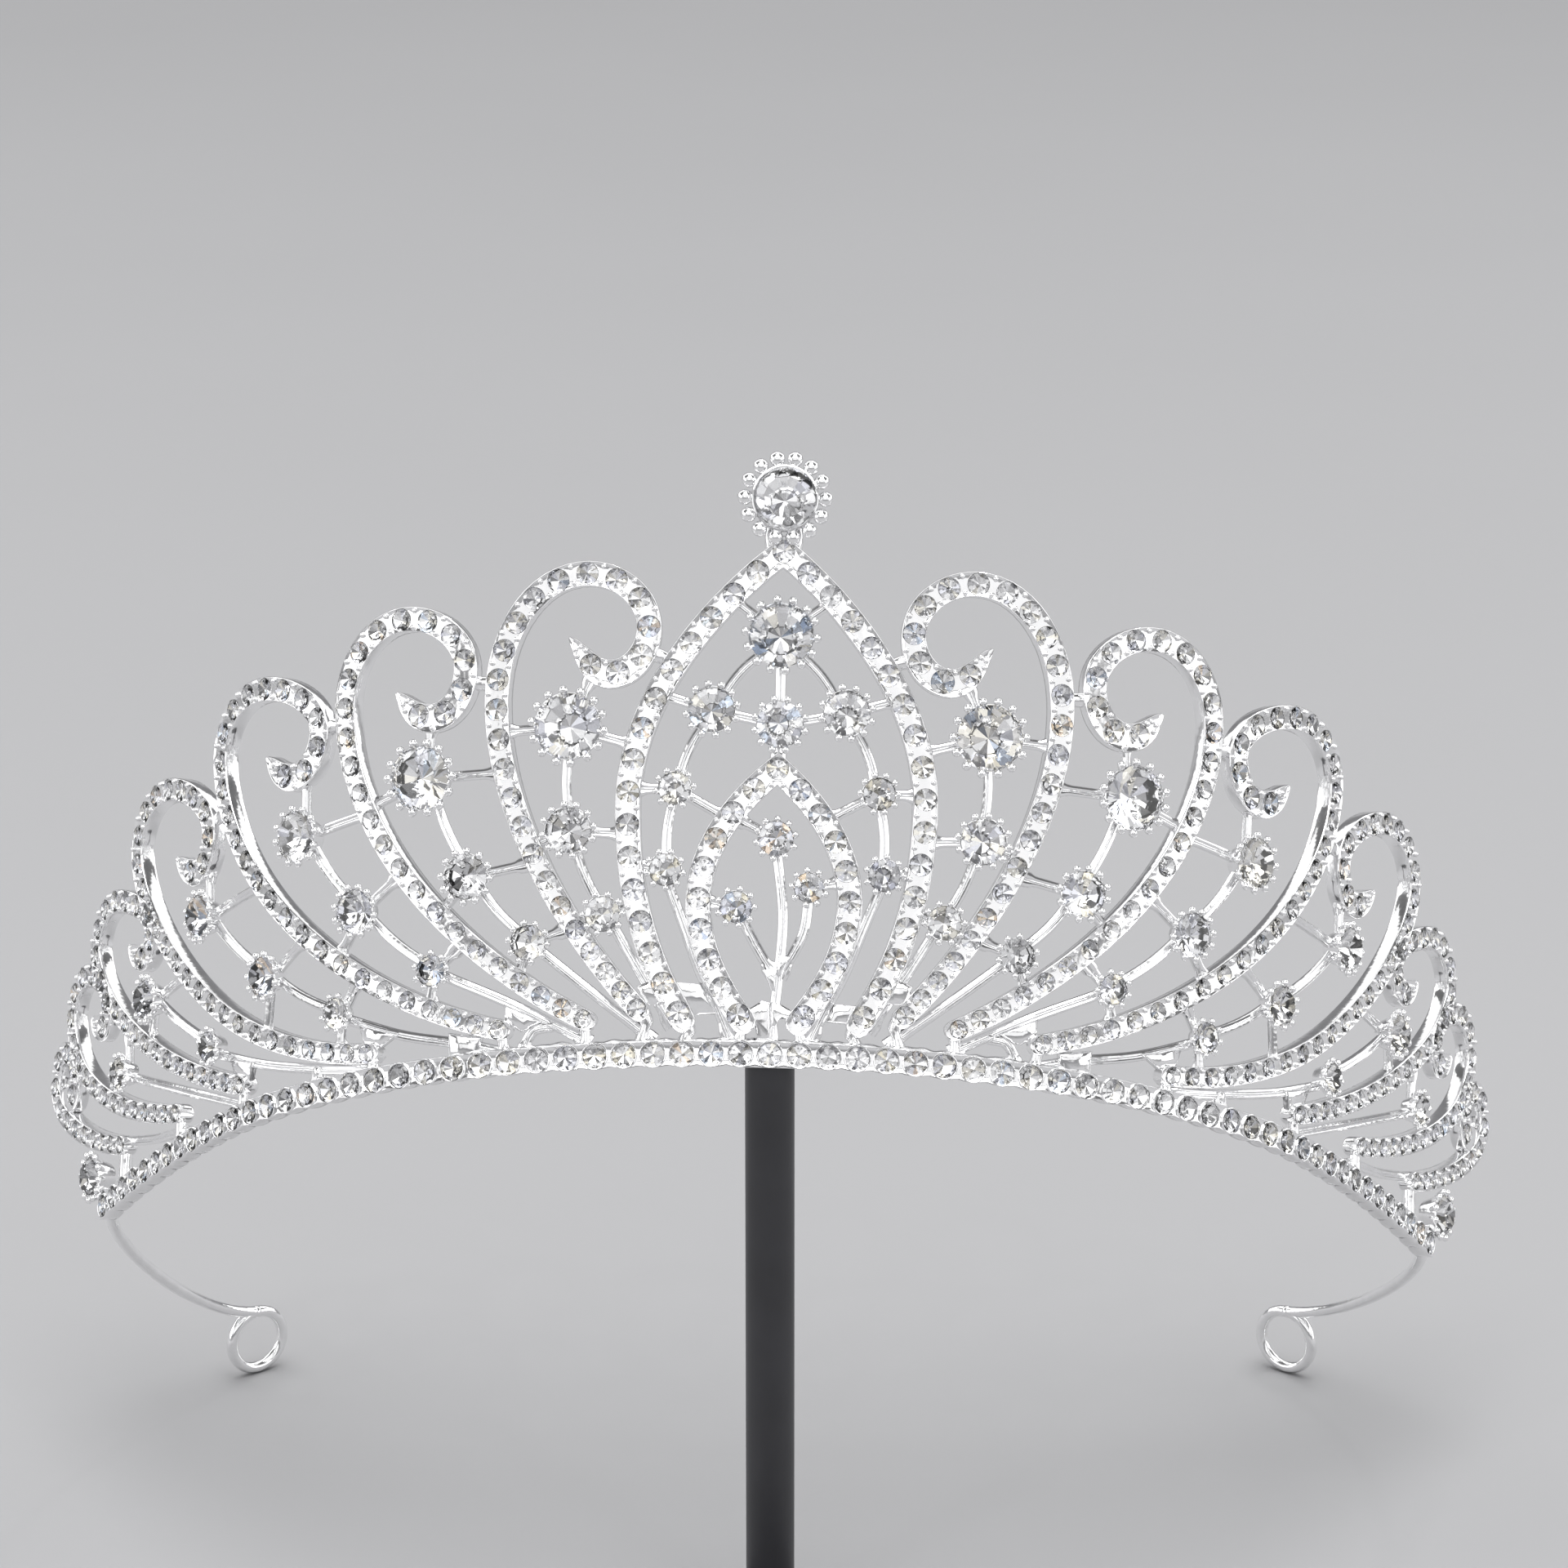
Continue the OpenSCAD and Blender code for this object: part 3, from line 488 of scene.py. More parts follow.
def lathe(profile, n):
    """Points and faces of a profile of (radius, height), turned about its axis."""
    points, rows = [], []
    for r, w in profile:
        count = n if r > 0 else 1
        rows.append([len(points) + j % count for j in range(n)])
        points += [(r * c, r * s, w) for c, s in circle(n)[:count]]
    if profile[0][0] > 0 and profile[-1][0] > 0:
        rows.append(rows[0])
    return points, [list(dict.fromkeys([a[j], a[(j + 1) % n], b[(j + 1) % n], b[j]]))
                    for a, b in zip(rows, rows[1:]) for j in range(n)]


def strip(casting, path, across, out):
    """A bar along a path on the wall. across and out hold its section at each point of the path."""
    n = normals(path)
    p = path[:, None, :] + n[:, None, :] * across[..., None]
    casting.add(wall(p[..., 0], p[..., 1], out), loops(len(path), across.shape[1]))


def channel(half, thick):
    """Section of a stone-set bar: rounded back edges, and a raised rim along both edges of a hollow face."""
    m = bpy.context.scene.crown_metal
    rim, sink = m.rim / MM, m.sink / MM
    k = np.minimum(1, half / 0.6)[:, None]
    half, face = half[:, None], np.full((len(half), 1), thick / 2)
    inset = np.concatenate([np.array([[0.3, 0.1, 0, 0, 0.04, 0.1, rim, rim + 0.12]]) * k, half * 0.6], 1)
    level = np.concatenate([-face, -face + 0.08, -face + 0.28, face - 0.16, face - 0.05,
                            face, face - 0.03, face - sink, face - sink * 1.2], 1)
    left = inset - half
    return np.concatenate([left, -left[:, ::-1]], 1), np.concatenate([level, level[:, ::-1]], 1)


def oval(half, thick):
    """Oval section of a leg or a seam, for half widths and half thicknesses along it."""
    e = 2 * math.pi * np.arange(OVAL_SIDES) / OVAL_SIDES
    return half[:, None] * -np.cos(e), thick[:, None] * np.sin(e)


def turned(casting, s, h, profile, n):
    """A turned piece about an axis out of the wall at (s, h). Profile points are (radius, out)."""
    points, faces = lathe(profile, n)
    casting.add(flat(s, h, points), faces)


def ball(casting, centre, radius, sides, rows, axes=None):
    """A bead about a centre in the part's frame; radius is one value, or one for each of its axes."""
    turns = [math.pi * i / rows for i in range(1, rows)]
    points, faces = lathe([(0, -1), *((math.sin(e), -math.cos(e)) for e in turns), (0, 1)], sides)
    p = np.array(points) * radius
    casting.add(centre + (p if axes is None else p @ axes), faces)


def tube(casting, path, radii, n):
    """A round bar along a path in the part's frame, with a radius at each point."""
    t = tangents(path)
    u = np.cross(t[0], (0.3, 0.2, 1.0))
    points = []
    for p, d, r in zip(path, t, radii):
        u = u - d * (u @ d)
        u /= np.linalg.norm(u)
        v = np.cross(d, u)
        points += [p + r * (c * u + s * v) for c, s in circle(n)]
    casting.add(points, [f[::-1] for f in loops(len(path), n)])


def blob(casting, a, b, radius, thick):
    """A drop of solder on the wall from a to b."""
    a, b = np.array(a, float), np.array(b, float)
    m, half = (a + b) / 2, (b - a) / 2
    turn = math.atan2(half[1], half[0])
    spin = np.array([[math.cos(turn), math.sin(turn), 0], [-math.sin(turn), math.cos(turn), 0], [0, 0, 1]])
    ball(casting, wall(*m, 0), (np.linalg.norm(half) + radius, radius, thick), 14, 8, spin @ wall_axes(*m))


def cut(body, tool):
    """Cuts one casting out of another, and returns the result as a casting."""
    pair = [bpy.data.objects.new(name, c.mesh(name)) for name, c in (("cut_body", body), ("cut_tool", tool))]
    for obj in pair:
        bpy.context.collection.objects.link(obj)
    step = pair[0].modifiers.new("Cut", "BOOLEAN")
    step.object, step.operation, step.solver = pair[1], "DIFFERENCE", "MANIFOLD"
    changed = pair[0].evaluated_get(bpy.context.evaluated_depsgraph_get())
    done = changed.to_mesh()
    if len(done.polygons) <= len(body.faces):
        raise RuntimeError("the stones' seats weren't cut")
    result = Casting()
    points = np.zeros(len(done.vertices) * 3, np.float32)
    done.vertices.foreach_get("co", points)
    result.add(points.reshape(-1, 3) / MM, [list(p.vertices) for p in done.polygons])
    changed.to_mesh_clear()
    for mesh in [obj.data for obj in pair]:
        bpy.data.meshes.remove(mesh)
    return result


def joined(castings):
    whole = Casting()
    for c in castings:
        if c.points:
            whole.add(np.concatenate(c.points), c.faces, c.looks, c.tones)
    return whole


def place(casting, name, looks, slot, nodes=(), crease=CREASE):
    """Makes the piece's object. Faces meet softly below the crease angle; None keeps every facet flat."""
    mesh = casting.mesh(name)
    for look in looks:
        mesh.materials.append(material(look))
    mesh.polygons.foreach_set("material_index", casting.looks)
    if crease is None:
        # Stones keep flat facets and carry their foil's painted sparkle and fire as a corner colour
        tone = mesh.attributes.new("facet_tone", "FLOAT_COLOR", "CORNER")
        sizes = [len(f) for f in casting.faces]
        tone.data.foreach_set("color", np.repeat(np.array(casting.tones, np.float32), sizes, 0).ravel())
    else:
        mesh.polygons.foreach_set("use_smooth", [True] * len(mesh.polygons))
        mesh.set_sharp_from_angle(angle=math.radians(crease))
    obj = bpy.data.objects.new(name, mesh)
    bpy.context.collection.objects.link(obj)
    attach(obj, "root")
    if nodes:
        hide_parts(*nodes)


def place_metal(casting, name, nodes=("crown_frame",), crease=CREASE):
    place(casting, name, [bright_silver], "silver", nodes, crease)


def place_stones(casting, name, nodes=()):
    place(casting, name, [crystal, foil_painted_sparkle], "stone", nodes, None)


# Materials

class Socket:
    """A shader value that takes part in Python expressions."""

    def __init__(self, graph, link):
        self.graph, self.link = graph, link

    def _math(self, operation, *values):
        return self.graph.node("ShaderNodeMath", {"operation": operation}, dict(enumerate(values)))

    def __add__(self, other):
        return self._math("ADD", self, other)

    def __radd__(self, other):
        return self._math("ADD", other, self)

    def __mul__(self, other):
        return self._math("MULTIPLY", self, other)

    def __rmul__(self, other):
        return self._math("MULTIPLY", other, self)


class Graph:
    """The nodes of one material or world."""

    def __init__(self, owner):
        owner.use_nodes = True
        self.tree = owner.node_tree
        self.tree.nodes.clear()

    def node(self, kind, settings=None, inputs=None, output=0):
        made = self.tree.nodes.new(kind)
        for key, value in (settings or {}).items():
            if key == "stops":
                ramp = made.color_ramp
                while len(ramp.elements) < len(value):
                    ramp.elements.new(0.5)
                for stop, (at, rgb) in zip(ramp.elements, value):
                    stop.position, stop.color = at, (*rgb, 1)
            else:
                setattr(made, key, value)
        for key, value in (inputs or {}).items():
            if isinstance(value, Socket):
                self.tree.links.new(value.link, made.inputs[key])
            else:
                made.inputs[key].default_value = value
        return Socket(self, made.outputs[output]) if made.outputs else None

    def noise(self, scale, detail=3.0, stretch=(1, 1, 1)):
        place = self.node("ShaderNodeMapping", {}, {
            "Vector": self.node("ShaderNodeTexCoord", output="Object"), "Scale": stretch})
        return self.node("ShaderNodeTexNoise", {}, {"Vector": place, "Scale": scale, "Detail": detail})

    def mix(self, a, b, factor):
        """Mixes two colours; either may be a plain one."""
        return self.node("ShaderNodeMix", {"data_type": "RGBA"}, {0: factor, 6: a, 7: b}, 2)

    def bump(self, height, strength, distance):
        return self.node("ShaderNodeBump", {}, {"Strength": strength, "Distance": distance, "Height": height})

    def finish(self, shader, kind="ShaderNodeOutputMaterial"):
        self.node(kind, {}, {"Surface": shader})

    def surface(self, values):
        self.finish(self.node("ShaderNodeBsdfPrincipled", {}, values))


def rgba(value, factor=1.0):
    return (*(c * factor for c in value), 1)


def material(look):
    """The material that a function draws, made on its first use and named after the function."""
    made = bpy.data.materials.get(look.__name__)
    if not made:
        made = bpy.data.materials.new(look.__name__)
        look(Graph(made))
    return made


def bright_silver(g):
    """Bright plated metal: nearly white, with soft waves and a fine pitted skin from the casting."""
    m = bpy.context.scene.crown_metal
    wave, skin = g.noise(700, 1), g.noise(2600, 0)
    g.surface({
        "Base Color": g.mix(rgba(m.silver, 0.93), rgba(m.silver, 1.05), wave), "Metallic": 1.0,
        "Roughness": m.polish * 0.55 + wave * (m.polish * 0.9),
        "Normal": g.bump(wave + skin * 0.35, 0.5, 0.00006)})


def foil_painted_sparkle(g):
    """Mirror foil behind the stones, with painted sparkle: every facet is painted lit or shaded, and some get
    painted fire.
    """
    tone = g.node("ShaderNodeVertexColor", {"layer_name": "facet_tone"})
    g.surface({
        "Base Color": g.mix(tone, rgba((0.8, 0.82, 0.86)), g.noise(900, 2) * 0.12),
        "Metallic": 1.0, "Roughness": 0.03 + g.noise(1500, 2) * 0.05})


def crystal(g):
    """Clear cut glass in front of the foil."""
    glass = bpy.context.scene.crown_stones.glass
    g.surface({
        "Base Color": g.mix(rgba(glass, 0.97), rgba(glass), g.noise(600, 0)),
        "IOR": 1.6, "Transmission Weight": 1.0, "Roughness": 0.0})


def satin_black(g):
    """Satin black paint of the post and its foot, with fine dust and drawn streaks."""
    post = bpy.context.scene.crown_stage.post
    streak = g.noise(1, stretch=(900, 900, 60))
    g.surface({
        "Base Color": g.mix(rgba(post), rgba(post, 2.4), g.noise(160)),
        "Roughness": 0.34 + streak * 0.16, "Normal": g.bump(streak + g.noise(3000), 0.2, 0.00005)})


def pale_floor(g):
    """The floor's matt, nearly even grey."""
    floor = bpy.context.scene.crown_stage.floor
    g.surface({
        "Base Color": g.mix(rgba(floor, 0.98), rgba(floor, 1.02), g.noise(6)),
        "Roughness": 0.62, "Normal": g.bump(g.noise(900), 0.05, 0.0002)})


# Stones

def draws(more):
    """Random draws of one group of pieces."""
    return np.random.default_rng(bpy.context.scene.crown_stones.seed + more)


def cut_stone(d, n, rise, depth, rng):
    """One cut stone about its girdle: points, facets, their materials (0 glass, 1 foil) and the colours
    painted on its foil facets as sparkle and fire.
    """
    stones = bpy.context.scene.crown_stones
    r, belt, depth = d / 2, BELT_SHARE * d, depth * d
    bulge = (depth - belt) * (1 / math.cos(math.pi / n) - 1)

    def ring(count, radius, heights):
        return [(radius * c, radius * s, heights[i % len(heights)]) for i, (c, s) in enumerate(circle(count))]

    points = ring(n, TABLE_SHARE * d, [rise * d]) + ring(2 * n, r, [0])
    points += ring(2 * n, r, [-belt, -belt + bulge])
    points.append((TIP_STRAY * d * rng.uniform(-1, 1), TIP_STRAY * d * rng.uniform(-1, 1), -depth))
    g, b, tip = n, 3 * n, 5 * n
    white = (1, 1, 1, 1)
    faces, looks, tones = [list(range(n))], [0], [white]
    dark, light = np.array(stones.foil_painted_shade), np.array(stones.foil_painted_lit)
    for i in range(n):
        k, a, p, q, c = (i + 1) % n, 2 * i, (2 * i - 1) % (2 * n), 2 * i + 1, (2 * i + 2) % (2 * n)
        faces += [[i, g + p, g + a], [i, g + a, g + q], [i, g + q, k], [g + a, b + a, b + q, g + q],
                  [g + q, b + q, b + c, g + c], [tip, b + c, b + q, b + a]]
        looks += [0] * 5 + [1]
        # Foil facets are painted lit and shaded by turns, some out of turn, and a few get painted fire
        share = rng.uniform(*(PAINTED_LIT_RANGE if (i % 2 == 0) != (rng.random() < ODD_FACETS) else PAINTED_SHADE_RANGE))
        fire = rng.random()
        painted_tint = next((t for limit, t in PAINTED_FIRE if fire < limit), (1, 1, 1))
        tones += [white] * 5 + [(*((dark + (light - dark) * share) * painted_tint), 1)]
    return np.array(points), faces, looks, tones


def set_stone(casting, s, h, level, d, n, rng, rise, depth):
    """A stone in its seat, turned and tilted a little as it fell."""
    points, faces, looks, tones = cut_stone(d, n, rise, depth, rng)
    e = rng.uniform(0, 2 * math.pi)
    tilt = rng.uniform(-STONE_TILT, STONE_TILT, 2)
    x = points[:, 0] * math.cos(e) - points[:, 1] * math.sin(e)
    y = points[:, 0] * math.sin(e) + points[:, 1] * math.cos(e)
    casting.add(flat(s, h, np.stack([x, y, level + points[:, 2] + tilt[0] * x + tilt[1] * y], -1)),
                faces, looks, tones)


def small_stone(tool, gems, spot, face, sink, d, rng):
    """A small stone in a bar, and the cutter for its seat."""
    s, h = spot
    r = d / 2
    turned(tool, s, h, [(0, face - 0.72), (0.2, face - 0.7), (r + 0.01, face - 0.16), (r + 0.08, face + 0.01),
                        (r + 0.08, face + 0.6), (0, face + 0.6)], SEAT_SIDES)
    n = int(rng.choice((FACETS, BIG_FACETS)))
    set_stone(gems, s, h, face - sink, d, n, rng, SMALL_RISE, rng.uniform(*SMALL_DEPTH))


def claw_stone(gems, s, h, d, rng):
    stones = bpy.context.scene.crown_stones
    n = BIG_FACETS if d > BIG_STONE else FACETS
    set_stone(gems, s, h, girdle(d), d, n, rng, stones.crown_share, stones.depth_share)


def grains(casting, path, widths, places, face, radius, inset=GRAIN_INSET, tip=False):
    """A grain at each edge of a bar between its stones, and four between the last stone and a hook's tip."""
    spots = [((a + b) / 2, max(0, np.interp((a + b) / 2, distances(path), widths) / 2 - inset), radius)
             for a, b in zip(places, places[1:])]
    if tip:
        spots += [(places[-1] + far, half, radius * share) for far, half, share in TIP_GRAINS]
    for at, half, size in spots:
        p, u = (along_path(path, [at], values)[0] for values in (path, normals(path)))
        for side in (-1, 1):
            ball(casting, wall(*(p + u * side * half), face), size, 10, 7)


def claw_setting(casting, s, h, d, rng):
    """A cast cup with ball-tipped claws round its stone."""
    g, r, deep, back = girdle(d), d / 2, cup_floor(d), BACK_SHARE * d
    turned(casting, s, h, [
        (0, deep - 0.45), (back - 0.12, deep - 0.45), (back, deep - 0.3), (r - 0.12, g - 0.62),
        (r + 0.06, g - 0.3), (r + 0.1, g - 0.1), (r + 0.05, g - 0.02), (r + 0.01, g - 0.08),
        (r - 0.04, g - 0.2), (0.25, deep + 0.05), (0, deep)], CUP_SIDES)
    count, tip = next((count, tip) for least, count, tip in CLAWS if d > least)
    reach = r + tip * 0.75
    start = rng.uniform(0, 2 * math.pi)
    for i in range(count):
        e = start + 2 * math.pi * i / count + rng.uniform(-CLAW_STRAY, CLAW_STRAY)
        *path, top = flat(s, h, [(q * math.cos(e), q * math.sin(e), w) for q, w in (
            (r - 0.35, g - 0.75), (r + 0.02, g - 0.42), (reach, g - 0.1), (reach, g - 0.02))])
        tube(casting, path, (tip * 0.8, tip * 0.75, tip * 0.7), 8)
        ball(casting, top, tip, 10, 6)


def thin_bar(casting, path, start=False, end=True):
    """A thin bar of two round ridges with a groove between them, wider at the ends that are soldered."""
    c = distances(path)
    k = np.ones(len(path))
    for on, away in ((start, c), (end, c[-1] - c)):
        if on:
            k = k + FLARE * np.clip(1 - (away - FLARE_FLAT) / FLARE_RUN, 0, 1) ** 2
    half = bpy.context.scene.crown_metal.link_width / MM / 2
    u = np.array([-0.55, -0.98, -1, -0.84, -0.52, -0.2, 0, 0.2, 0.52, 0.84, 1, 0.98, 0.55]) * half
    w = np.array([-0.46, -0.3, 0, 0.2, 0.29, 0.18, 0.02, 0.18, 0.29, 0.2, 0, -0.3, -0.46])
    strip(casting, path, u * k[:, None], w * (0.5 + 0.5 * k[:, None]))


def links(casting, stones, table, side):
    """Thin bars from stone to stone, or from a stone to a point."""
    for a, b, bow in table:
        p = np.array(stones[a][:2], float)
        q = np.array(stones[b][:2] if isinstance(b, int) else b, float)
        u = (q - p) / np.linalg.norm(q - p)
        start = p + u * BACK_SHARE * stones[a][2]
        end = q - u * BACK_SHARE * stones[b][2] if isinstance(b, int) else q
        t = np.linspace(0, 1, LINK_STEPS + 1)[:, None]
        path = start + (end - start) * t + np.array([u[1], -u[0]]) * bow * 4 * t * (1 - t)
        thin_bar(casting, sided(path, side), False, not isinstance(b, int))


def leg(casting, bar, s, side):
    """The narrowing foot of a bar, bent down into the band at s, where the solder widens it."""
    foot = bar[0]
    t = (bar[1] - foot) / np.linalg.norm(bar[1] - foot)
    base = -float(drop(s))
    start, along, down, high = LEG_INSIDE if s > foot[0] + LEG_APART else LEG_UNDER
    path = bezier(foot + t * start, foot + t * along - (0, down), (s, base + high), (s, base + LEG_RISE),
                  LEG_STEPS)
    k = np.linspace(0, 1, LEG_STEPS + 1)
    half = (LEG_HALF - LEG_WAIST * np.sin(np.minimum(1, k * 1.4) * math.pi / 2) ** 2
            + LEG_SPREAD * np.clip(k - 0.6, 0, 1) ** 1.5)
    half[0] *= 0.4
    strip(casting, sided(path, side), *oval(half, LEG_THICK - 0.12 * np.sin(k * math.pi)))


def seam(casting, rng):
    """The uneven run of solder along the band's upper edge."""
    s = np.arange(-SEAM_REACH, SEAM_REACH + 0.01, SEAM_STEP)
    wave = sum(np.sin(s * f + rng.uniform(0, 6)) for f in SEAM_WAVES) / len(SEAM_WAVES)
    rise, half, thick = (mean + waver * wave for mean, waver in (SEAM_RISE, SEAM_HALF, SEAM_THICK))
    half = half * np.clip((SEAM_REACH - abs(s)) / SEAM_FADE, 0.15, 1)
    strip(casting, np.stack([s, rise - drop(s)], -1), *oval(half, thick))


def web(casting, corners, thick):
    """A flat web of solder between bars, with softened edges."""
    p = np.array(corners, float)
    if np.sum(p[:, 0] * np.roll(p[:, 1], -1) - np.roll(p[:, 0], -1) * p[:, 1]) > 0:
        p = p[::-1]
    after = np.roll(p, -1, 0)
    ring = np.stack([p * (1 - k) + after * k for k in (0, 0.3, 0.5, 0.7)], 1).reshape(-1, 2)
    middle = p.mean(0)
    inner = middle + (ring - middle) * (1 - WEB_SOFT / np.linalg.norm(ring - middle, axis=1))[:, None]
    edge = thick - WEB_SOFT * 0.7
    casting.add(np.concatenate([wall(q[:, 0], q[:, 1], w) for q, w in (
        (inner, -thick), (ring, -edge), (ring, edge), (inner, thick))]), loops(4, len(ring)))


# Operators

class CROWN_OT_band(bpy.types.Operator):
    """Band with a row of round bezels, and its stones."""
    bl_idname = "crown.band"
    bl_label = "Band"

    def execute(self, context):
        m = context.scene.crown_metal
        thick, high, d = m.band_thickness / MM, m.band_height / MM, context.scene.crown_stones.band_stone / MM
        s = np.linspace(-BAND_REACH, BAND_REACH, BAND_STEPS + 1)
        path = np.stack([s, -drop(s)], -1)
        places = stone_places(path, BAND_PITCH, BAND_PITCH / 2, BAND_PITCH / 2)
        near = np.min(np.abs(distances(path)[:, None] - places[None, :]), 1) / (BAND_PITCH / 2)
        body, tool, gems, bezels, rng = Casting(), Casting(), Casting(), Casting(), draws(0)
        across, out = channel(np.full(len(s), high / 2), thick)
        # The lower edge runs in and out round the stones
        strip(body, path, across + (across < -high / 4) * (BAND_SCALLOP * near ** 2)[:, None], out)
        r, face = d / 2, thick / 2
        bezel = [(r + 0.2, face - 0.3), (r + 0.18, face + 0.03), (r + 0.11, face + 0.1),
                 (r + 0.04, face + 0.07), (r + 0.015, face - 0.02), (r + 0.015, face - 0.3)]
        for q in along_path(path, places):
            turned(bezels, *q, bezel, SEAT_SIDES)
            small_stone(tool, gems, q, face, BAND_SINK, d, rng)
        place_metal(joined([cut(body, tool), bezels]), "band")
        place_stones(gems, "band_row", ["band_stones"])
        return {"FINISHED"}


class CROWN_OT_scrolls(bpy.types.Operator):
    """Seven scrolls a side, with their seats, grains and small stones."""
    bl_idname = "crown.scrolls"
    bl_label = "Scrolls"

    def execute(self, context):
        m, d = context.scene.crown_metal, context.scene.crown_stones.bar_stone / MM
        for side, word in ((-1, "left"), (1, "right")):
            parts, gems, beads, rng = [], Casting(), Casting(), draws(10 + side)
            for i, row in enumerate(SCROLLS):
                path, widths = round_foot(*scroll_path(row))
                path = sided(path, side)
                thick = m.bar_thickness / MM - THINNING * i
                body, tool = Casting(), Casting()
                strip(body, path, *channel(widths / 2, thick))
                places = stone_places(path, SCROLL_PITCH, SCROLL_FIRST, SCROLL_LAST, FOOT_PITCH)
                for q, w in zip(along_path(path, places), np.interp(places, distances(path), widths)):
                    size = min(d * (w / FULL_W) ** 0.5, w - EDGE_ROOM)
                    small_stone(tool, gems, q, thick / 2, BAR_SINK, size, rng)
                last = row is SCROLLS[-1]
                grains(beads, path, widths, places, thick / 2, m.grain / MM * (END_GRAIN if last else 1),
                       END_INSET if last else GRAIN_INSET, not last)
                parts.append(cut(body, tool))
            place_metal(joined(parts), f"scrolls_{word}")
            place_metal(beads, f"scroll_grains_{word}", ())
            place_stones(gems, f"scroll_row_{word}")
        return {"FINISHED"}


class CROWN_OT_almonds(bpy.types.Operator):
    """The two pointed almonds in the middle, with their stones."""
    bl_idname = "crown.almonds"
    bl_label = "Almonds"

    def execute(self, context):
        m, d = context.scene.crown_metal, context.scene.crown_stones.bar_stone / MM
        thick, wide = m.bar_thickness / MM + ALMOND_EXTRA, m.bar_width / MM
        parts, gems, beads, rng = [], Casting(), Casting(), draws(20)
        for row in ALMONDS:
            half = almond_path(row)
            near = np.linalg.norm(half - half[-1], axis=1)
            half = half[(near > APEX_CLEAR * wide) | (near == 0)]
            half, foot = round_foot(half, np.full(len(half), wide))
            path = np.concatenate([sided(half, -1), half[-2::-1]])
            tangent = half[-1] - half[-2]
            widths = np.concatenate([foot, foot[-2::-1]])
            widths[len(half) - 1] = wide * math.hypot(*tangent) / abs(tangent[0])
            body, tool = Casting(), Casting()
            strip(body, path, *channel(widths / 2, thick))
            places = stone_places(half, ALMOND_PITCH, ALMOND_FIRST, 0)
            for x, h in along_path(half, places):
                # The stone at the apex stands alone, and the others in pairs
                for s in ((x, -x) if x > 0.5 else (x,)):
                    small_stone(tool, gems, (s, h), thick / 2, BAR_SINK, d, rng)
            for side in (1, -1):
                grains(beads, sided(half, side), np.full(len(half), wide), places, thick / 2, m.grain / MM)
            parts.append(cut(body, tool))
        place_metal(joined(parts + [beads]), "almonds")
        place_stones(gems, "almond_rows", ["almond_stones"])
        return {"FINISHED"}


class CROWN_OT_settings(bpy.types.Operator):
    """Claw settings and their stones."""
    bl_idname = "crown.settings"
    bl_label = "Claw settings"

    def execute(self, context):
        groups = (("centre", 1, CENTRE), ("left", -1, SIDE), ("right", 1, SIDE))
        for n, (word, side, rows) in enumerate(groups):
            metal, gems, rng = Casting(), Casting(), draws(30 + n)
            for s, h, d in rows:
                claw_setting(metal, side * s, h, d, rng)
                claw_stone(gems, side * s, h, d, rng)
            place_metal(metal, f"settings_{word}")
            place_stones(gems, f"claw_stones_{word}", [f"{word}_stone_{i + 1:02d}" for i in range(len(rows))])
        return {"FINISHED"}


class CROWN_OT_top_setting(bpy.types.Operator):
    """The bead-edged setting at the top, its two necks and its stone."""
    bl_idname = "crown.top_setting"
    bl_label = "Top setting"

    def execute(self, context):
        metal, gems, d, h = Casting(), Casting(), TOP_STONE, TOP_HEIGHT
        g, r, deep = girdle(d), d / 2, cup_floor(d)
        turned(metal, 0, h, [
            (0, deep - 0.45), (1.9, deep - 0.45), (2.1, deep - 0.3), (r + 0.1, g - 1.1),
            (r + 0.3, g - 0.6), (r + 0.3, g - 0.1), (r + 0.24, g + 0.06), (r + 0.1, g + 0.1),
            (r + 0.01, g - 0.04), (r - 0.06, g - 0.2), (0.3, deep + 0.05), (0, deep)], TOP_SIDES)
        for c, s in circle(TOP_BEADS):
            bead, root, end = flat(0, h, [(q * c, q * s, w) for q, w in (
                (r + 0.9, g - 0.45), (r - 0.1, g - 0.6), (r + 0.5, g - 0.5))])
            ball(metal, bead, TOP_BEAD, 20, 12)
            tube(metal, [root, end], BEAD_NECK, 10)
        for ends in TOP_NECKS:
            blob(metal, *ends, *NECK)
        claw_stone(gems, 0, h, d, draws(40))
        place_metal(metal, "top_setting")
        place_stones(gems, "top_stone", ["finial_stone"])
        return {"FINISHED"}


class CROWN_OT_thin_bars(bpy.types.Operator):
    """Thin bars between the settings, the long stems to the band, the legs, the struts and the solder."""
    bl_idname = "crown.thin_bars"
    bl_label = "Thin bars"

    def execute(self, context):
        ties, stems, solder = Casting(), Casting(), Casting()
        feet = [almond_path(row) for row in ALMONDS] + [scroll_path(row)[0] for row in SCROLLS]
        links(ties, CENTRE, CENTRE_LINKS, 1)
        for row in CENTRE_STEMS:
            thin_bar(stems, smoothed(row))
        for side in (-1, 1):
            links(ties, SIDE, SIDE_LINKS, side)
            for path, s in zip(feet, LEGS):
                leg(solder, path, s, side)
        for side in (-1, 1):
            for row in SIDE_STEMS:
                thin_bar(stems, sided(smoothed(row), side))
            for s, top in SIDE_STRUTS:
                path = np.linspace((s, -float(drop(s))), (s, top), STRUT_STEPS + 1)
                thin_bar(stems, sided(path, side), True)
                blob(solder, *sided(((s, top - 0.3), (s, top)), side), *STRUT_SOLDER)
            for ends in SIDE_BRIDGES:
                blob(solder, *sided(ends, side), *BRIDGE)
        for corners in WEBS:
            web(solder, corners, WEB_THICK)
        for corners in SIDE_WEBS:
            for side in (-1, 1):
                web(solder, sided(corners, side), SIDE_WEB_THICK)
        seam(solder, draws(50))
        place_metal(ties, "thin_bars")
        place_metal(stems, "stems")
        place_metal(solder, "solder", crease=SOLDER_CREASE)
        return {"FINISHED"}


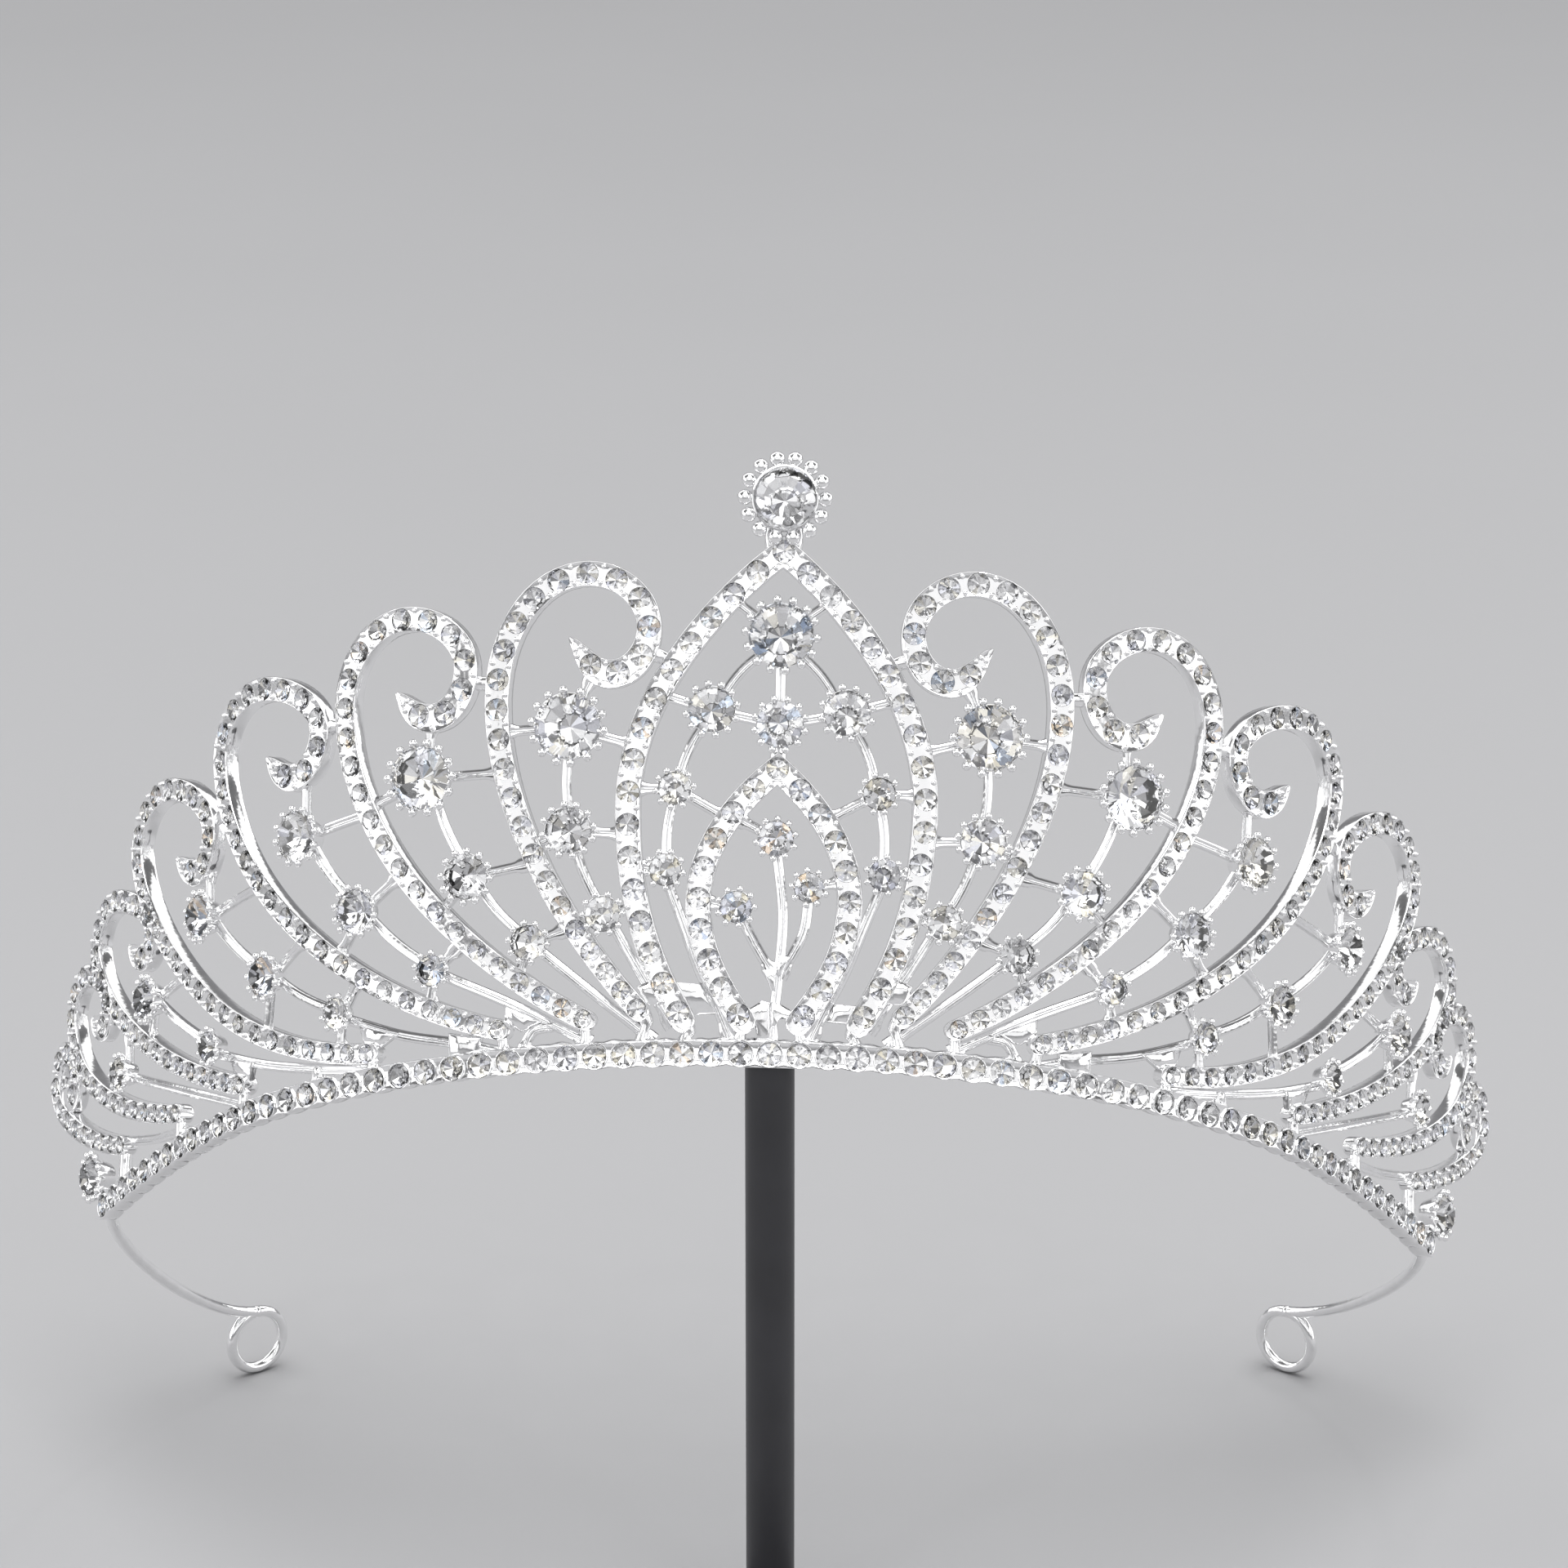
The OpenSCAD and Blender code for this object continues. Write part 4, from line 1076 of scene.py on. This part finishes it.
class CROWN_OT_end_wires(bpy.types.Operator):
    """End wires with their open eyes."""
    bl_idname = "crown.end_wires"
    bl_label = "End wires"

    def execute(self, context):
        metal = Casting()
        r = context.scene.crown_metal.wire_width / MM / 2 - WIRE_GAP
        s = BAND_REACH - WIRE_INSET
        for side in (-1, 1):
            eye = np.array([side * EYE_X, CROWN_Y + EYE_BACK, EYE_R + r])
            top = eye + (0, 0, EYE_R)
            start = wall(side * s, -float(drop(s)), 0)
            pull = start + np.array(WIRE_START_PULL) * (side, 1, 1)
            flank = np.array([side * math.cos(EYE_YAW), -math.sin(EYE_YAW), 0])
            path = bezier(start, pull, top + flank * WIRE_EYE_PULL + (0, 0, WIRE_EYE_RISE), top, WIRE_STEPS)
            tube(metal, path, [r] * len(path), WIRE_SIDES)
            normal = np.cross(flank, (0, 0, 1))
            points = []
            for c, up in circle(EYE_STEPS):
                p = eye + EYE_R * (c * flank + np.array([0, 0, up]))
                u = (p - eye) / EYE_R
                points += [p + r * (x * u + y * normal) for x, y in circle(WIRE_SIDES)]
            metal.add(points, loops(EYE_STEPS, WIRE_SIDES, True))
            ball(metal, top, r * EYE_JOIN, 16, 10)
        place_metal(metal, "end_wires")
        return {"FINISHED"}


class CROWN_OT_stand(bpy.types.Operator):
    """Finish of the post, and its rounded foot."""
    bl_idname = "crown.stand"
    bl_label = "Stand"

    def execute(self, context):
        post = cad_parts["stand_post"]
        post.data.materials.clear()
        post.data.materials.append(material(satin_black))
        foot = Casting()
        foot.add(*lathe([
            (0, 0.02), (FOOT_R - 0.9, 0.02), (FOOT_R - 0.6, 0), (FOOT_R - 0.2, 0.15), (FOOT_R - 0.01, 0.5),
            (FOOT_R - 0.01, FOOT_T - 0.7), (FOOT_R - 0.25, FOOT_T - 0.25), (FOOT_R - 0.8, FOOT_T),
            (0, FOOT_T)], FOOT_SIDES))
        place(foot, "foot", [satin_black], "stand", ["stand_foot"])
        return {"FINISHED"}


def lamp(name, kind, energy, at=(0, 0, 0), turn=(0, 0, 0)):
    """A light of the stage."""
    scene = bpy.context.scene
    light = bpy.data.lights.new(name, kind)
    light.energy = energy * scene.crown_stage.light
    made = bpy.data.objects.new(name, light)
    scene.collection.objects.link(made)
    made.location, made.rotation_euler = at, turn
    return made


def panel(name, size, energy, at, turn=(0, 0, 0)):
    """A soft panel, which the camera doesn't see."""
    made = lamp(name, "AREA", energy, at, turn)
    made.data.shape = "RECTANGLE"
    made.data.size, made.data.size_y = size
    made.visible_camera = False


class CROWN_OT_stage(bpy.types.Operator):
    """Camera, pale floor, soft lights and the room's light."""
    bl_idname = "crown.stage"
    bl_label = "Stage"

    def execute(self, context):
        scene = context.scene
        camera = bpy.data.objects.new("camera", bpy.data.cameras.new("camera"))
        scene.collection.objects.link(camera)
        camera.location = CAMERA_AT
        camera.rotation_euler = (math.radians(90 - CAMERA_DOWN), 0, 0)
        camera.data.sensor_width, camera.data.lens = SENSOR, SENSOR * FOCAL / PHOTO_SIDE
        camera.data.clip_start = 0.01
        scene.camera = camera

        mesh = bpy.data.meshes.new("floor")
        corners = [(x * FLOOR_HALF, y * FLOOR_HALF, 0) for x, y in ((-1, -1), (1, -1), (1, 1), (-1, 1))]
        mesh.from_pydata(corners, [], [range(4)])
        mesh.materials.append(material(pale_floor))
        floor = bpy.data.objects.new("floor", mesh)
        scene.collection.objects.link(floor)

        for name, azimuth, elevation, wide, high, bright in PANELS:
            a, e = math.radians(azimuth), math.radians(elevation)
            at = (PANEL_REACH * math.sin(a) * math.cos(e), -PANEL_REACH * math.cos(a) * math.cos(e),
                  PANEL_REACH * math.sin(e) + PANEL_CENTRE)
            panel(name, (wide, high), bright * math.pi * wide * high, at, (math.pi / 2 - e, 0, a))
        panel("floor_wash", WASH_SIZE, WASH_ENERGY, WASH_AT)
        # Lights the floor alone, evenly and as far as it reaches
        even = lamp("floor_light", "SUN", FLOOR_ENERGY)
        even.data.angle = math.radians(FLOOR_SPREAD)
        lit = bpy.data.collections.new("floor_lit")
        lit.objects.link(floor)
        even.light_linking.receiver_collection = lit

        scene.world = bpy.data.worlds.new("room")
        g = Graph(scene.world)
        way = g.node("ShaderNodeTexCoord", output="Generated")
        up = g.node("ShaderNodeSeparateXYZ", {}, {"Vector": way}, 2)
        room = g.node("ShaderNodeValToRGB", {"stops": ROOM}, {"Fac": up * 0.5 + 0.5})
        g.finish(g.node("ShaderNodeBackground", {}, {"Color": room, "Strength": ROOM_STRENGTH}),
                 "ShaderNodeOutputWorld")
        scene.view_settings.view_transform = "Standard"
        return {"FINISHED"}


GROUPS = {"crown_metal": CrownMetal, "crown_stones": CrownStones, "crown_stage": CrownStage}
STEPS = [CROWN_OT_stage, CROWN_OT_stand, CROWN_OT_band, CROWN_OT_scrolls, CROWN_OT_almonds, CROWN_OT_settings,
         CROWN_OT_top_setting, CROWN_OT_thin_bars, CROWN_OT_end_wires]


class CROWN_PT_panel(bpy.types.Panel):
    """Sizes, colours and steps of the crown."""
    bl_idname = "CROWN_PT_panel"
    bl_label = "Bridal crown"
    bl_space_type = "VIEW_3D"
    bl_region_type = "UI"
    bl_category = "Crown"

    def draw(self, context):
        for key in GROUPS:
            box = self.layout.box()
            values = getattr(context.scene, key)
            for value in values.__annotations__:
                box.prop(values, value)
        for step in STEPS:
            self.layout.operator(step.bl_idname)


CLASSES = [*GROUPS.values(), *STEPS, CROWN_PT_panel]


def register():
    for item in CLASSES:
        bpy.utils.register_class(item)
    for key, group in GROUPS.items():
        setattr(bpy.types.Scene, key, PointerProperty(type=group))


def unregister():
    for key in GROUPS:
        delattr(bpy.types.Scene, key)
    for item in reversed(CLASSES):
        bpy.utils.unregister_class(item)


def main():
    register()
    bpy.ops.crown.stage()
    bpy.ops.crown.stand()
    bpy.ops.crown.band()
    bpy.ops.crown.scrolls()
    bpy.ops.crown.almonds()
    bpy.ops.crown.settings()
    bpy.ops.crown.top_setting()
    bpy.ops.crown.thin_bars()
    bpy.ops.crown.end_wires()


if __name__ == "__main__":
    main()
